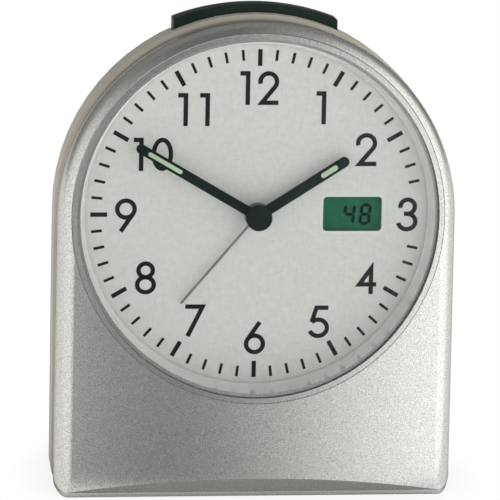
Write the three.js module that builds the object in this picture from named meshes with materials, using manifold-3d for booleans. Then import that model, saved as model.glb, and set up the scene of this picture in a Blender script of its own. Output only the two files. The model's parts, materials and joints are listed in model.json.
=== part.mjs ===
// An arched alarm clock that sets itself by radio: hands, a small display and a snooze bar on top.
// Millimetres, +Z up. The front faces -Y, and the origin is on the table under the middle of the clock.
// Pieces are drawn in the dial's frame: X right, Y up the dial, Z out of the dial, origin at its centre.

import * as THREE from 'three';
import { mergeVertices } from 'three/addons/utils/BufferGeometryUtils.js';
import Module from 'manifold-3d';

const wasm = await Module();
wasm.setup();

// Clearances
const GAP = 0.3; // between pieces that seat on each other
const RUN = 0.2; // around turning shafts and tubes
const OVER = 1; // how far a cut runs past the face that it opens

// Case
const CASE_WIDTH = 100;
const DIAL_HEIGHT = 70.6; // dial centre above the table
const LEAN_DEGREES = 5; // the clock leans back
const ARCH_DROP = 0.8; // arch's centre below the dial's
const SIDE_FLARE = 0.45; // each side widens down to the table
const WALL = 2;
const BOWL_WALL = 3; // round the dial
const PANEL_RADIUS = 370; // front panel and lens bow out sideways
const EDGE_FILLET = 4.2;
const CORNER_RADIUS = 3.4; // lower corners
const LIP_HEIGHT = 1.1; // foot lip under the panel
const LIP_FRONT = 5.4; // lip ahead of the dial
const UNDERCUT_DEGREES = 53.2; // slope between lip and panel
const PARTING_DEPTH = 6; // line where the case halves meet, behind the dial
const DRAFT = 0.8; // the front case narrows to the parting line
const REAR_STEP = 1.15; // the rear case stands this far out from it there
const SIDE_DEPTH = 15.5; // where the flanks start to taper
const FLANK_INSET = 7.5; // taper of the flanks up to the back's rounded edge
const BACK_FILLET = 4;
const BACK_DEPTH = 40;

// Lens, reflector ring and dial
const RIM = 3.25; // case edge round the lens
const LEDGE = 1.55; // seat under the lens margin
const LENS_THICK = 1.6;
const RING_FOOT = 1.7; // ring's width on the dial
const RING_TOP = 0.4; // ring's width under the lens
const DIAL_THICK = 0.8;
const FLOOR_THICK = 1.5; // bowl floor behind the dial

// Hands
const MINUTE_LENGTH = 35.5;
const MINUTE_WIDTH = 2.4;
const MINUTE_DEGREES = 300.2; // clockwise from twelve
const HOUR_LENGTH = 26.7;
const HOUR_WIDTH = 2.6;
const HOUR_DEGREES = 57.2;
const ALARM_LENGTH = 29.4;
const ALARM_WIDTH = 0.6;
const ALARM_DEGREES = 220.1;
const HAND_TAIL = 2.6; // behind the axis
const HAND_THICK = 0.6;
const ALARM_THICK = 0.4;
const HAND_LIFT = 1.2; // lowest hand above the dial
const HAND_SPACING = 0.7; // between hands
const HAND_CLEARANCE = 1; // minute hand's tip to the lens
const HUB_WALL = 0.7;
const LUME_INSET = 3.3; // strip's outer end from the hand's tip
const MINUTE_LUME_LENGTH = 9.8;
const MINUTE_LUME_WIDTH = 1.05;
const HOUR_LUME_LENGTH = 4.8;
const HOUR_LUME_WIDTH = 1.3;
const LUME_DEPTH = 0.3;
const CAP_RADIUS = 3.3;
const CAP_THICK = 0.9;

// Display
const WINDOW_WIDTH = 14.9;
const WINDOW_HEIGHT = 8.8;
const WINDOW_CORNER = 1;
const WINDOW_RISE = 0.1; // above the dial's centre
const DISPLAY_MARGIN = 1.9; // display glass past the window
const DISPLAY_THICK = 2;
const FRAME_WALL = 1.7;
const FRAME_BACK = 1.8;
const LEAD_WIDTH = 8;
const LEAD_THICK = 0.4;

// Movement
const PLATE = 1.5;
const TRAY_WALL = 1.2;
const WHEEL_THICK = 1;
const LAYER_GAP = 0.6; // between wheels one above another
const ARBOR_RADIUS = 0.9;
const TUBE_WALL = 0.55;
const BUSH_WALL = 1.2;
const CANNON_TEETH = 8;
const MOTION_TEETH = 24;
const MOTION_MODULE = 0.75;
const MOTION_PINION_TEETH = 8;
const HOUR_TEETH = 32;
const MINUTE_TEETH = 48;
const SECOND_PINION_TEETH = 8;
const TRAIN_MODULE = 0.43;
const SECOND_TEETH = 40;
const ROTOR_TEETH = 8;
const ROTOR_MODULE = 0.375;
const ALARM_TEETH = 36;
const SETTER_TEETH = 12;
const ALARM_MODULE = 0.55;
const MOTION_DIRECTION = 180; // degrees anticlockwise from three o'clock, seen from the front
const SECOND_DIRECTION = 90;
const ROTOR_DIRECTION = 135; // from the second wheel
const SETTER_DIRECTION = -60;
const MAGNET_RADIUS = 2.6;
const MAGNET_LENGTH = 3.6;
const STATOR_THICK = 1;
const STATOR_WALL = 1.4; // round the magnet
const CORE_WIDTH = 2.4;
const COIL_LENGTH = 9;
const COIL_WALL = 2; // winding round the core
const EAR_RADIUS = 2.6;
const EAR_SETBACK = 8; // ears left of the centre line

// Circuit board and antenna
const BOARD_THICK = 1.6;
const BOARD_MARGIN = 1.3; // past the movement's ears
const CHIP_WIDTH = 9;
const CHIP_THICK = 1.5;
const CRYSTAL_RADIUS = 1;
const CRYSTAL_LENGTH = 6;
const ROD_RADIUS = 3;
const ROD_LENGTH = 44;
const ROD_COIL_RADIUS = 4.5;
const ROD_COIL_LENGTH = 16;
const ROD_STAND = 3; // saddle height
const SADDLE_WIDTH = 4;

// Snooze bar
const SNOOZE_WIDTH = 41.5;
const SNOOZE_DEPTH = 6.5;
const SNOOZE_SETBACK = 4.6; // behind the parting line
const SNOOZE_PROUD = 2.05; // above the arch, on the centre line
const SNOOZE_RADIUS = 58; // its top
const SNOOZE_HEIGHT = 5;
const SNOOZE_BEVEL = 0.4;
const SNOOZE_TRAVEL = 1;
const STEM_WIDTH = 5;
const STEM_DEPTH = 2.4;
const SWITCH_SIZE = 3.4; // snooze switch body
const PLUNGER_LENGTH = 1;
const PLUNGER_RADIUS = 1;
const PLUNGER_ROOT = 0.5; // plunger inside its switch body

// Back controls
const KNOB_RADIUS = 7;
const KNOB_PROUD = 2;
const KNOB_RIDGES = 24;
const KNOB_RIDGE_DEPTH = 0.5;
const DISH_DEPTH = 2.5; // hollow round the knob
const DISH_MARGIN = 1;
const SETTER_RADIUS = 1;
const BUTTON_RADIUS = 3;
const BUTTON_FLANGE = 0.9; // flange past the stem
const BUTTON_PROUD = 1.2;
const BUTTON_TRAVEL = 0.8;
const BUTTON_SPACING = 9.5;
const BUTTON_DROP = 28; // under the top of the arch
const FLANGE_THICK = 0.8;
const TACT_WIDTH = 5;
const TACT_HEIGHT = 2.7;
const TACT_PLUNGER = 0.8;
const SLIDER_WIDTH = 4;
const SLIDER_TRAVEL = 3;
const SLIDER_PROUD = 1;
const SLIDER_OVERLAP = 0.6; // slider plate past its slot
const SLIDER_MARGIN = 2.5; // slider plate from the last button's flange
const BUTTON_BOARD_HEIGHT = 16;
const POST_RADIUS = 2;
const BUZZER_RADIUS = 10;
const BUZZER_THICK = 5.5;
const SOUND_HOLE_RADIUS = 1.2;
const SOUND_HOLE_RING = 5;
const SOUND_HOLES = 6;

// Battery
const BATTERY_RADIUS = 7.1;
const BATTERY_LENGTH = 50.5;
const BATTERY_EDGE = 0.5; // rounded rim at both ends
const NUB_RADIUS = 2.75;
const NUB_LENGTH = 1;
const BATTERY_HEIGHT = 17; // its axis above the table
const BATTERY_ROOM = 0.5; // round the battery in its tub
const TUB_WALL = 1.5;
const CONTACT_THICK = 0.5;
const CONTACT_WIDTH = 9;
const DOOR_THICK = 1.8;
const HINGE_PIN_RADIUS = 0.5;
const HINGE_PIN_LENGTH = 0.9;
const FINGER_NOTCH_WIDTH = 14;
const FINGER_NOTCH_DEPTH = 1.2;
const FINGER_NOTCH_RADIUS = 6;

// Screws
const SCREW_RADIUS = 1.1;
const SCREW_HEAD_RADIUS = 2.5;
const SCREW_HEAD_THICK = 1.5;
const SCREW_CROWN = 1.75; // flat top of the head
const SCREW_RIM = 0.75; // straight edge of the head
const SCREW_GRIP = 6; // movement screw in its boss
const SEAT_THICK = 2.4; // column floor under a case screw's head
const COLUMN_WALL = 1.4;
const COLUMN_MARGIN = 1.4; // from the movement and the battery tub
const DRIVE_WIDTH = 0.7; // cross recess
const DRIVE_REACH = 1.5;
const DRIVE_DEPTH = 0.8;

// Tooth shape, in modules and in shares of one tooth's pitch
const TOOTH_RISE = 0.75;
const TOOTH_FALL = 1.1;
const TIP_SHARE = 0.1;
const ROOT_SHARE = 0.27;

// Facets
const ARCH_STEPS = 32;
const FILLET_STEPS = 3;
const CORNER_STEPS = 6;
const SLAB_STEPS = 3;
const BEVEL_STEPS = 2;
const PANEL_STEPS = 16;
const ROUND_LARGE = 60;
const ROUND_MEDIUM = 24;
const ROUND_SMALL = 12;
const MERGE_DISTANCE = 1e-4; // corners closer than this are one

// Radii from the case edge inwards
const arch = CASE_WIDTH / 2;
const recess = arch - RIM;
const bowl = recess - LEDGE;
const bowlOuter = bowl + BOWL_WALL;
const ringOuter = bowl - GAP;
const dialEdge = ringOuter - RING_FOOT;

// Radii from the centre outwards
const hourInner = ARBOR_RADIUS + RUN;
const hourOuter = hourInner + TUBE_WALL;
const alarmInner = hourOuter + RUN;
const alarmOuter = alarmInner + TUBE_WALL;
const bushInner = alarmOuter + RUN;
const bushOuter = bushInner + BUSH_WALL;

// Levels ahead of the dial
const alarmHandBack = HAND_LIFT;
const alarmHandFront = alarmHandBack + ALARM_THICK;
const hourHandBack = alarmHandFront + HAND_SPACING;
const hourHandFront = hourHandBack + HAND_THICK;
const minuteHandBack = hourHandFront + HAND_SPACING;
const minuteHandFront = minuteHandBack + HAND_THICK;
const capBack = minuteHandFront + GAP;
const panelRise = minuteHandFront + HAND_CLEARANCE + LENS_THICK + sag(MINUTE_LENGTH);
const lensSeat = LENS_THICK + GAP; // below the panel's surface

// Levels behind the dial
const floorFront = -DIAL_THICK - GAP;
const floorBack = floorFront - FLOOR_THICK;
const floorMiddle = (floorFront + floorBack) / 2;
const trayFront = floorBack - GAP;
const trayInner = trayFront - PLATE;
const layerPitch = WHEEL_THICK + LAYER_GAP;
const wheelFront = (layer) => trayInner - LAYER_GAP - layer * layerPitch;
const wheelBack = (layer) => wheelFront(layer) - WHEEL_THICK;
const lidFront = wheelFront(5);
const lidBack = lidFront - PLATE;
const boardFront = lidBack - GAP;
const boardBack = boardFront - BOARD_THICK;
const rearFront = -PARTING_DEPTH - GAP;
const rearInset = DRAFT - REAR_STEP;
const backInner = -BACK_DEPTH + WALL;

// Wheel axes, as points on the dial plane
const motionDistance = (CANNON_TEETH + MOTION_TEETH) * MOTION_MODULE / 2;
const hourModule = 2 * motionDistance / (HOUR_TEETH + MOTION_PINION_TEETH);
const secondDistance = (MINUTE_TEETH + SECOND_PINION_TEETH) * TRAIN_MODULE / 2;
const rotorDistance = (SECOND_TEETH + ROTOR_TEETH) * ROTOR_MODULE / 2;
const setterDistance = (ALARM_TEETH + SETTER_TEETH) * ALARM_MODULE / 2;
const centre = new THREE.Vector2(0, 0);
const motionAxis = polar(motionDistance, MOTION_DIRECTION);
const secondAxis = polar(secondDistance, SECOND_DIRECTION);
const rotorAxis = polar(rotorDistance, ROTOR_DIRECTION).add(secondAxis);
const setterAxis = polar(setterDistance, SETTER_DIRECTION);

// Motor and movement outline
const magnetHole = MAGNET_RADIUS + 2 * GAP;
const statorHalf = magnetHole + STATOR_WALL;
const coreY = rotorAxis.y + statorHalf + GAP + CORE_WIDTH / 2;
const coilHalf = CORE_WIDTH / 2 + GAP + COIL_WALL;
const coilLeft = rotorAxis.x + statorHalf + GAP;
const coilRight = coilLeft + COIL_LENGTH;
const statorFront = trayInner - LAYER_GAP - GAP - COIL_WALL - GAP;
const trayLeft = motionAxis.x - tipRadius(MOTION_TEETH, MOTION_MODULE) - LAYER_GAP;
const trayRight = LAYER_GAP + Math.max(
  tipRadius(ALARM_TEETH, ALARM_MODULE),
  tipRadius(MINUTE_TEETH, TRAIN_MODULE),
  setterAxis.x + tipRadius(SETTER_TEETH, ALARM_MODULE),
  coilRight + CORE_WIDTH,
);
const trayTop = coreY + coilHalf + LAYER_GAP;
const trayBottom = -LAYER_GAP + Math.min(
  setterAxis.y - tipRadius(SETTER_TEETH, ALARM_MODULE),
  motionAxis.y - tipRadius(MOTION_TEETH, MOTION_MODULE),
  -tipRadius(MINUTE_TEETH, TRAIN_MODULE),
);
const earHole = SCREW_RADIUS + GAP;
const earAxes = [
  new THREE.Vector2(-EAR_SETBACK, trayTop + TRAY_WALL + GAP + EAR_RADIUS),
  new THREE.Vector2(-EAR_SETBACK, trayBottom - TRAY_WALL - GAP - EAR_RADIUS),
];

// Display
const displayWidth = WINDOW_WIDTH + 2 * DISPLAY_MARGIN;
const displayHeight = WINDOW_HEIGHT + 2 * DISPLAY_MARGIN;
const frameWidth = displayWidth + 2 * (GAP + FRAME_WALL);
const frameHeight = displayHeight + 2 * (GAP + FRAME_WALL);
const displayX = trayRight + TRAY_WALL + GAP + frameWidth / 2;
const displayFront = floorFront;
const displayBack = displayFront - DISPLAY_THICK;
const frameFront = floorBack - GAP;
const frameBack = Math.min(frameFront, displayBack - GAP) - FRAME_BACK;

// Battery
const batteryZ = backInner + 2 * GAP + BATTERY_RADIUS;
const batteryY = baseLine(batteryZ) + BATTERY_HEIGHT;
const tubHalfLength = BATTERY_LENGTH / 2 + 2 * GAP + CONTACT_THICK;
const tubHalfHeight = BATTERY_RADIUS + BATTERY_ROOM;
const tubFront = batteryZ + BATTERY_RADIUS + BATTERY_ROOM;
const hingeRadius = DOOR_THICK / 2;
const hingeY = batteryY - tubHalfHeight + GAP + hingeRadius;
const hingeZ = -BACK_DEPTH + hingeRadius;

// Case screws
const columnHole = SCREW_HEAD_RADIUS + GAP;
const columnRadius = columnHole + COLUMN_WALL;
const bossRadius = SCREW_RADIUS + GAP + COLUMN_WALL;
const caseScrewSeat = rearFront - SEAT_THICK - GAP;
const caseScrewTip = floorBack - 2 * GAP;
const upperScrewX = TRAY_WALL + COLUMN_MARGIN + columnRadius - trayLeft;
const lowerScrewX = tubHalfLength + TUB_WALL + COLUMN_MARGIN + columnRadius;
const upperScrewY = WINDOW_RISE + frameHeight / 2 + COLUMN_MARGIN + bossRadius;
const screwAxes = [
  new THREE.Vector2(-upperScrewX, upperScrewY),
  new THREE.Vector2(upperScrewX, upperScrewY),
  new THREE.Vector2(-lowerScrewX, batteryY),
  new THREE.Vector2(lowerScrewX, batteryY),
];
const boardHalf = upperScrewX - columnRadius - GAP;

// Snooze bar
const snoozeFront = -PARTING_DEPTH - SNOOZE_SETBACK;
const snoozeBack = snoozeFront - SNOOZE_DEPTH;
const snoozeTop = arch - ARCH_DROP - rearInset + SNOOZE_PROUD;
const boardTop = earAxes[0].y + EAR_RADIUS + BOARD_MARGIN;
const boardBottom = earAxes[1].y - EAR_RADIUS - BOARD_MARGIN;
const plungerTop = boardTop + PLUNGER_LENGTH;
const stemEnd = plungerTop + SNOOZE_TRAVEL + GAP;
const switchZ = boardFront + GAP + SWITCH_SIZE / 2;

// Antenna
const rodY = boardBottom - GAP - ROD_COIL_RADIUS;
const rodZ = floorBack - ROD_STAND - GAP - ROD_RADIUS;
const saddleX = (ROD_LENGTH / 2 + ROD_COIL_LENGTH / 2) / 2;

// Back controls
const dishRadius = KNOB_RADIUS + DISH_MARGIN;
const dishFloor = -BACK_DEPTH + DISH_DEPTH;
const flangeBack = backInner + GAP;
const flangeFront = flangeBack + FLANGE_THICK;
const tactBack = flangeFront + BUTTON_TRAVEL + GAP + TACT_PLUNGER;
const controlBoardBack = tactBack + TACT_HEIGHT + GAP;
const controlBoardFront = controlBoardBack + BOARD_THICK;
const buttonY = arch - BUTTON_DROP;
const buttonAxes = [-2, -1, 0].map((step) => new THREE.Vector2(step * BUTTON_SPACING, buttonY));
const sliderReach = SLIDER_WIDTH / 2 + SLIDER_TRAVEL + GAP + SLIDER_OVERLAP;
const sliderX = BUTTON_RADIUS + BUTTON_FLANGE + SLIDER_MARGIN + sliderReach;
const postX = 1.5 * BUTTON_SPACING; // midway between two buttons
const postY = buttonY - BUTTON_RADIUS - POST_RADIUS - GAP;
const postAxes = [-postX, postX].map((x) => new THREE.Vector2(x, postY));
const buzzerX = setterAxis.x - dishRadius - WALL - GAP - BUZZER_RADIUS;
const buzzerY = postY - POST_RADIUS - GAP - BUZZER_RADIUS;
const buzzerAxis = new THREE.Vector2(buzzerX, buzzerY);

// Lines and profiles

function sag(x) {
  return PANEL_RADIUS - Math.sqrt(PANEL_RADIUS * PANEL_RADIUS - x * x);
}

// Height of the front panel's surface ahead of the dial.
function panel(x) {
  return panelRise - sag(x);
}

// Where the table lies, seen along the dial plane at depth z.
function baseLine(z) {
  const lean = THREE.MathUtils.degToRad(LEAN_DEGREES);
  return -(DIAL_HEIGHT + z * Math.sin(lean)) / Math.cos(lean);
}

function polar(radius, degrees) {
  const angle = THREE.MathUtils.degToRad(degrees);
  return new THREE.Vector2(radius * Math.cos(angle), radius * Math.sin(angle));
}

function tipRadius(teeth, module) {
  return teeth * module / 2 + TOOTH_RISE * module;
}

function roundedRectangle(width, height, radius) {
  const shape = new THREE.Shape();
  const x = width / 2 - radius;
  const y = height / 2 - radius;
  shape.absarc(x, y, radius, 0, Math.PI / 2);
  shape.absarc(-x, y, radius, Math.PI / 2, Math.PI);
  shape.absarc(-x, -y, radius, Math.PI, 1.5 * Math.PI);
  shape.absarc(x, -y, radius, 1.5 * Math.PI, 2 * Math.PI);
  return shape;
}

// Solids

// A closed mesh as a solid, with its shared corners merged and empty triangles left out.
function solid(geometry) {
  const bare = geometry.clone();
  bare.deleteAttribute('normal');
  bare.deleteAttribute('uv');
  const merged = mergeVertices(bare, MERGE_DISTANCE);
  const index = merged.index.array;
  const triVerts = [];
  for (let i = 0; i < index.length; i += 3) {
    const [a, b, c] = index.slice(i, i + 3);
    if (a !== b && b !== c && c !== a) {
      triVerts.push(a, b, c);
    }
  }
  return new wasm.Manifold(new wasm.Mesh({
    numProp: 3,
    vertProperties: merged.attributes.position.array,
    triVerts: new Uint32Array(triVerts),
  }));
}

function block(x0, x1, y0, y1, z0, z1) {
  const geometry = new THREE.BoxGeometry(x1 - x0, y1 - y0, z1 - z0);
  return solid(geometry.translate((x0 + x1) / 2, (y0 + y1) / 2, (z0 + z1) / 2));
}

function rod(radius, z0, z1, at = centre, facets = ROUND_SMALL) {
  const geometry = new THREE.CylinderGeometry(radius, radius, z1 - z0, facets);
  return solid(geometry.rotateX(Math.PI / 2).translate(at.x, at.y, (z0 + z1) / 2));
}

// A rod along X, with its axis at height y and depth z.
function crossRod(radius, x0, x1, y, z, facets = ROUND_SMALL) {
  const geometry = new THREE.CylinderGeometry(radius, radius, x1 - x0, facets);
  return solid(geometry.rotateZ(Math.PI / 2).translate((x0 + x1) / 2, y, z));
}

function tube(outer, inner, z0, z1, at = centre, facets = ROUND_SMALL) {
  return rod(outer, z0, z1, at, facets).subtract(rod(inner, z0 - OVER, z1 + OVER, at, facets));
}

function slab(shape, z0, z1, facets = SLAB_STEPS) {
  const options = { depth: z1 - z0, bevelEnabled: false, curveSegments: facets };
  return solid(new THREE.ExtrudeGeometry(shape, options).translate(0, 0, z0));
}

// A ring or disc turned about Z from a closed outline of [radius, z] points.
function turned(outline, facets) {
  const points = outline.map(([radius, z]) => new THREE.Vector2(radius, z));
  points.push(points[0].clone());
  return solid(new THREE.LatheGeometry(points, facets).rotateX(Math.PI / 2));
}

// An outline drawn as [z, y] points and carried along X from side to side.
function sideways(points, halfWidth) {
  const shape = new THREE.Shape(points.map(([z, y]) => new THREE.Vector2(z, y)));
  const options = { depth: 2 * halfWidth, bevelEnabled: false };
  const geometry = new THREE.ExtrudeGeometry(shape, options);
  return solid(geometry.rotateY(-Math.PI / 2).translate(halfWidth, 0, 0));
}

// Everything ahead of the front panel's surface, moved forward by offset.
function aheadOfPanel(offset) {
  const reach = arch + 2 * RIM;
  const points = [];
  for (let i = 0; i <= PANEL_STEPS; i++) {
    const x = reach * (2 * i / PANEL_STEPS - 1);
    points.push(new THREE.Vector2(x, panel(x) + offset));
  }
  const top = panelRise + CASE_WIDTH;
  points.push(new THREE.Vector2(reach, top), new THREE.Vector2(-reach, top));
  const options = { depth: 4 * arch, bevelEnabled: false };
  const geometry = new THREE.ExtrudeGeometry(new THREE.Shape(points), options);
  return solid(geometry.rotateX(Math.PI / 2).translate(0, 2 * arch, 0));
}

// A loft through arched outlines, front first. A station insets the case outline and gives its height at x.
// Each outline runs down past the table, where the base cuts it, and its sides flare a little on the way.
function archLoft(stations) {
  const skirt = baseLine(0) - arch;
  const spread = 1 + (SIDE_FLARE / arch) * (skirt + ARCH_DROP) / (baseLine(0) + ARCH_DROP);
  const size = 2 * (ARCH_STEPS + 1);
  const position = [];
  for (const { inset, height } of stations) {
    const radius = arch - inset;
    const columns = [];
    for (let i = 0; i <= ARCH_STEPS; i++) {
      const angle = Math.PI * (1 - i / ARCH_STEPS);
      columns.push([radius * Math.cos(angle), radius * Math.sin(angle) - ARCH_DROP]);
    }
    for (const [x, y] of columns) {
      position.push(x, y, height(x));
    }
    for (const [x] of columns.reverse()) {
      position.push(x * spread, skirt, height(x * spread));
    }
  }
  const index = [];
  const last = (stations.length - 1) * size;
  for (let i = 0; i < ARCH_STEPS; i++) {
    const below = size - 1 - i;
    index.push(below, below - 1, i + 1, below, i + 1, i);
    index.push(last + below, last + i + 1, last + below - 1, last + below, last + i, last + i + 1);
  }
  for (let front = 0; front < last; front += size) {
    for (let i = 0; i < size; i++) {
      const next = (i + 1) % size;
      index.push(front + i, front + next, front + size + next);
      index.push(front + i, front + size + next, front + size + i);
    }
  }
  const geometry = new THREE.BufferGeometry();
  geometry.setAttribute('position', new THREE.Float32BufferAttribute(position, 3));
  geometry.setIndex(index);
  return solid(geometry);
}

// The room above the table between the case sides, with round lower corners, less a wall all round.
function aboveTable(wall) {
  const half = arch + SIDE_FLARE - wall;
  const radius = CORNER_RADIUS;
  const top = DIAL_HEIGHT + CASE_WIDTH;
  const shape = new THREE.Shape();
  shape.moveTo(half, top);
  shape.lineTo(-half, top);
  shape.absarc(-half + radius, wall + radius, radius, Math.PI, 1.5 * Math.PI);
  shape.absarc(half - radius, wall + radius, radius, 1.5 * Math.PI, 2 * Math.PI);
  const depth = 4 * BACK_DEPTH;
  const options = { depth, bevelEnabled: false, curveSegments: CORNER_STEPS };
  const geometry = new THREE.ExtrudeGeometry(shape, options);
  geometry.rotateX(Math.PI / 2).translate(0, depth / 2, -DIAL_HEIGHT);
  return solid(geometry.rotateX(THREE.MathUtils.degToRad(LEAN_DEGREES) - Math.PI / 2));
}

// What is cut away under the front panel to leave the foot lip, moved in by a wall.
function undercut(wall) {
  const angle = THREE.MathUtils.degToRad(UNDERCUT_DEGREES);
  const z = LIP_FRONT - wall * Math.sin(angle);
  const y = baseLine(LIP_FRONT) + LIP_HEIGHT + wall * Math.cos(angle);
  const reach = arch;
  const low = y - arch;
  const outline = [[z, low], [z + reach, low], [z + reach, y + reach * Math.tan(angle)], [z, y]];
  return sideways(outline, CASE_WIDTH);
}

// A wheel or pinion with one tooth pointing along +X.
function gear(teeth, module, z0, z1, bore) {
  const pitch = teeth * module / 2;
  const root = pitch - TOOTH_FALL * module;
  const tip = tipRadius(teeth, module);
  const corners = [[root, -ROOT_SHARE], [tip, -TIP_SHARE], [tip, TIP_SHARE], [root, ROOT_SHARE]];
  const points = [];
  for (let tooth = 0; tooth < teeth; tooth++) {
    for (const [radius, share] of corners) {
      points.push(polar(radius, 360 * (tooth + share) / teeth));
    }
  }
  const shape = new THREE.Shape(points);
  if (bore > 0) {
    shape.holes.push(new THREE.Path().absarc(0, 0, bore, 0, 2 * Math.PI, true));
  }
  return slab(shape, z0, z1);
}

// How far a gear turns so that a tooth, or a gap, faces along a direction.
function toothAt(degrees) {
  return [0, 0, degrees];
}

function gapAt(degrees, teeth) {
  return [0, 0, degrees + 180 / teeth];
}

// A cross-head screw pointing along +Z, its head's seat at z = 0.
function screw(shank) {
  const head = turned([
    [0, -SCREW_HEAD_THICK],
    [SCREW_CROWN, -SCREW_HEAD_THICK],
    [SCREW_HEAD_RADIUS, -SCREW_RIM],
    [SCREW_HEAD_RADIUS, 0],
    [SCREW_RADIUS, 0],
    [SCREW_RADIUS, shank - SCREW_RADIUS],
    [0, shank],
  ], ROUND_SMALL);
  const long = DRIVE_REACH;
  const short = DRIVE_WIDTH / 2;
  const floor = -SCREW_HEAD_THICK + DRIVE_DEPTH;
  const recessAcross = block(-long, long, -short, short, -2 * SCREW_HEAD_THICK, floor);
  const recessAlong = block(-short, short, -long, long, -2 * SCREW_HEAD_THICK, floor);
  return head.subtract(recessAcross).subtract(recessAlong);
}

// Case, lens and dial

function frontCase() {
  const stations = [];
  for (let i = 0; i <= FILLET_STEPS; i++) {
    const angle = (Math.PI / 2) * (1 - i / FILLET_STEPS);
    const drop = EDGE_FILLET * (1 - Math.sin(angle));
    stations.push({ inset: EDGE_FILLET * (1 - Math.cos(angle)), height: (x) => panel(x) - drop });
  }
  stations.push({ inset: DRAFT, height: () => -PARTING_DEPTH });
  const outside = archLoft(stations).intersect(aboveTable(0)).subtract(undercut(0));
  const inside = archLoft([
    { inset: WALL, height: (x) => panel(x) - WALL },
    { inset: WALL + DRAFT, height: () => -PARTING_DEPTH - WALL },
  ]);
  const reach = panelRise + WALL;
  const bowlBlank = rod(bowlOuter, floorBack, reach, centre, ROUND_LARGE);
  const room = inside.intersect(aboveTable(WALL)).subtract(bowlBlank).subtract(undercut(WALL));
  let body = outside.subtract(room);
  body = body.subtract(rod(recess, 0, reach, centre, ROUND_LARGE).intersect(aheadOfPanel(-lensSeat)));
  body = body.subtract(rod(bowl, floorFront, reach, centre, ROUND_LARGE));
  body = body.subtract(rod(bushOuter + GAP, floorBack - OVER, floorFront + OVER, centre, ROUND_MEDIUM));
  const windowX = displayWidth / 2 + GAP;
  const windowY = displayHeight / 2 + GAP;
  body = body.subtract(block(
    displayX - windowX, displayX + windowX, WINDOW_RISE - windowY, WINDOW_RISE + windowY,
    floorBack - OVER, floorFront + OVER,
  ));
  for (const axis of screwAxes) {
    const behindBowl = Math.hypot(axis.x, axis.y) < bowl;
    const root = behindBowl ? floorMiddle : panel(axis.x) - WALL / 2;
    body = body.add(rod(bossRadius, -PARTING_DEPTH, root, axis));
    body = body.subtract(rod(SCREW_RADIUS + GAP, -PARTING_DEPTH - OVER, floorBack - GAP, axis));
  }
  for (const axis of earAxes) {
    body = body.add(rod(EAR_RADIUS, lidFront + GAP, floorMiddle, axis));
    body = body.subtract(rod(earHole, lidFront - OVER, floorBack - GAP, axis));
  }
  for (const side of [-1, 1]) {
    const x = side * saddleX;
    body = body.add(block(
      x - SADDLE_WIDTH / 2, x + SADDLE_WIDTH / 2, rodY - ROD_RADIUS, rodY + ROD_RADIUS,
      floorBack - ROD_STAND, floorMiddle,
    ));
  }
  return body;
}

// Stations of the rear case: straight flanks, a taper, then a rounded edge into the flat back.
function rearStations(wall) {
  const side = rearInset + wall;
  const stations = [
    { inset: side, height: () => rearFront + wall },
    { inset: side, height: () => -SIDE_DEPTH },
  ];
  for (let i = 0; i <= FILLET_STEPS; i++) {
    const angle = (Math.PI / 2) * i / FILLET_STEPS;
    const inset = side + FLANK_INSET + BACK_FILLET * (1 - Math.cos(angle));
    const z = -BACK_DEPTH + wall + BACK_FILLET * (1 - Math.sin(angle));
    stations.push({ inset, height: () => z });
  }
  return stations;
}

function rearCase() {
  let body = archLoft(rearStations(0)).intersect(aboveTable(0));
  body = body.subtract(archLoft(rearStations(WALL)).intersect(aboveTable(WALL)));
  body = addBatteryTub(body);
  for (const axis of screwAxes) {
    body = body.add(rod(columnRadius, backInner - WALL / 2, rearFront, axis));
    body = body.subtract(rod(columnHole, -BACK_DEPTH - OVER, rearFront - SEAT_THICK, axis));
    body = body.subtract(rod(SCREW_RADIUS + GAP, -BACK_DEPTH, rearFront + OVER, axis));
  }
  const slot = SNOOZE_WIDTH / 2 + GAP;
  const wallFoot = Math.sqrt((arch - rearInset - WALL) ** 2 - slot ** 2) - ARCH_DROP - OVER;
  body = body.subtract(block(-slot, slot, wallFoot, CASE_WIDTH, snoozeBack - GAP, snoozeFront + GAP));
  return cutBackControls(body);
}

// A box round the battery, open at the back, with sockets for the door's hinge pins and a finger notch.
function addBatteryTub(body) {
  const x = tubHalfLength;
  const low = batteryY - tubHalfHeight;
  const high = batteryY + tubHalfHeight;
  const outside = block(
    -x - TUB_WALL, x + TUB_WALL, low - TUB_WALL, high + TUB_WALL,
    backInner - WALL / 2, tubFront + TUB_WALL,
  );
  const inside = block(-x, x, low, high, -BACK_DEPTH - OVER, tubFront);
  const socket = x + HINGE_PIN_LENGTH;
  const sockets = crossRod(HINGE_PIN_RADIUS + GAP, -socket, socket, hingeY, hingeZ);
  const notchHalf = FINGER_NOTCH_WIDTH / 2;
  const notchZ = -BACK_DEPTH - FINGER_NOTCH_RADIUS + FINGER_NOTCH_DEPTH;
  const notch = crossRod(FINGER_NOTCH_RADIUS, -notchHalf, notchHalf, high, notchZ, ROUND_MEDIUM);
  return body.add(outside).subtract(inside).subtract(sockets).subtract(notch);
}

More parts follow.
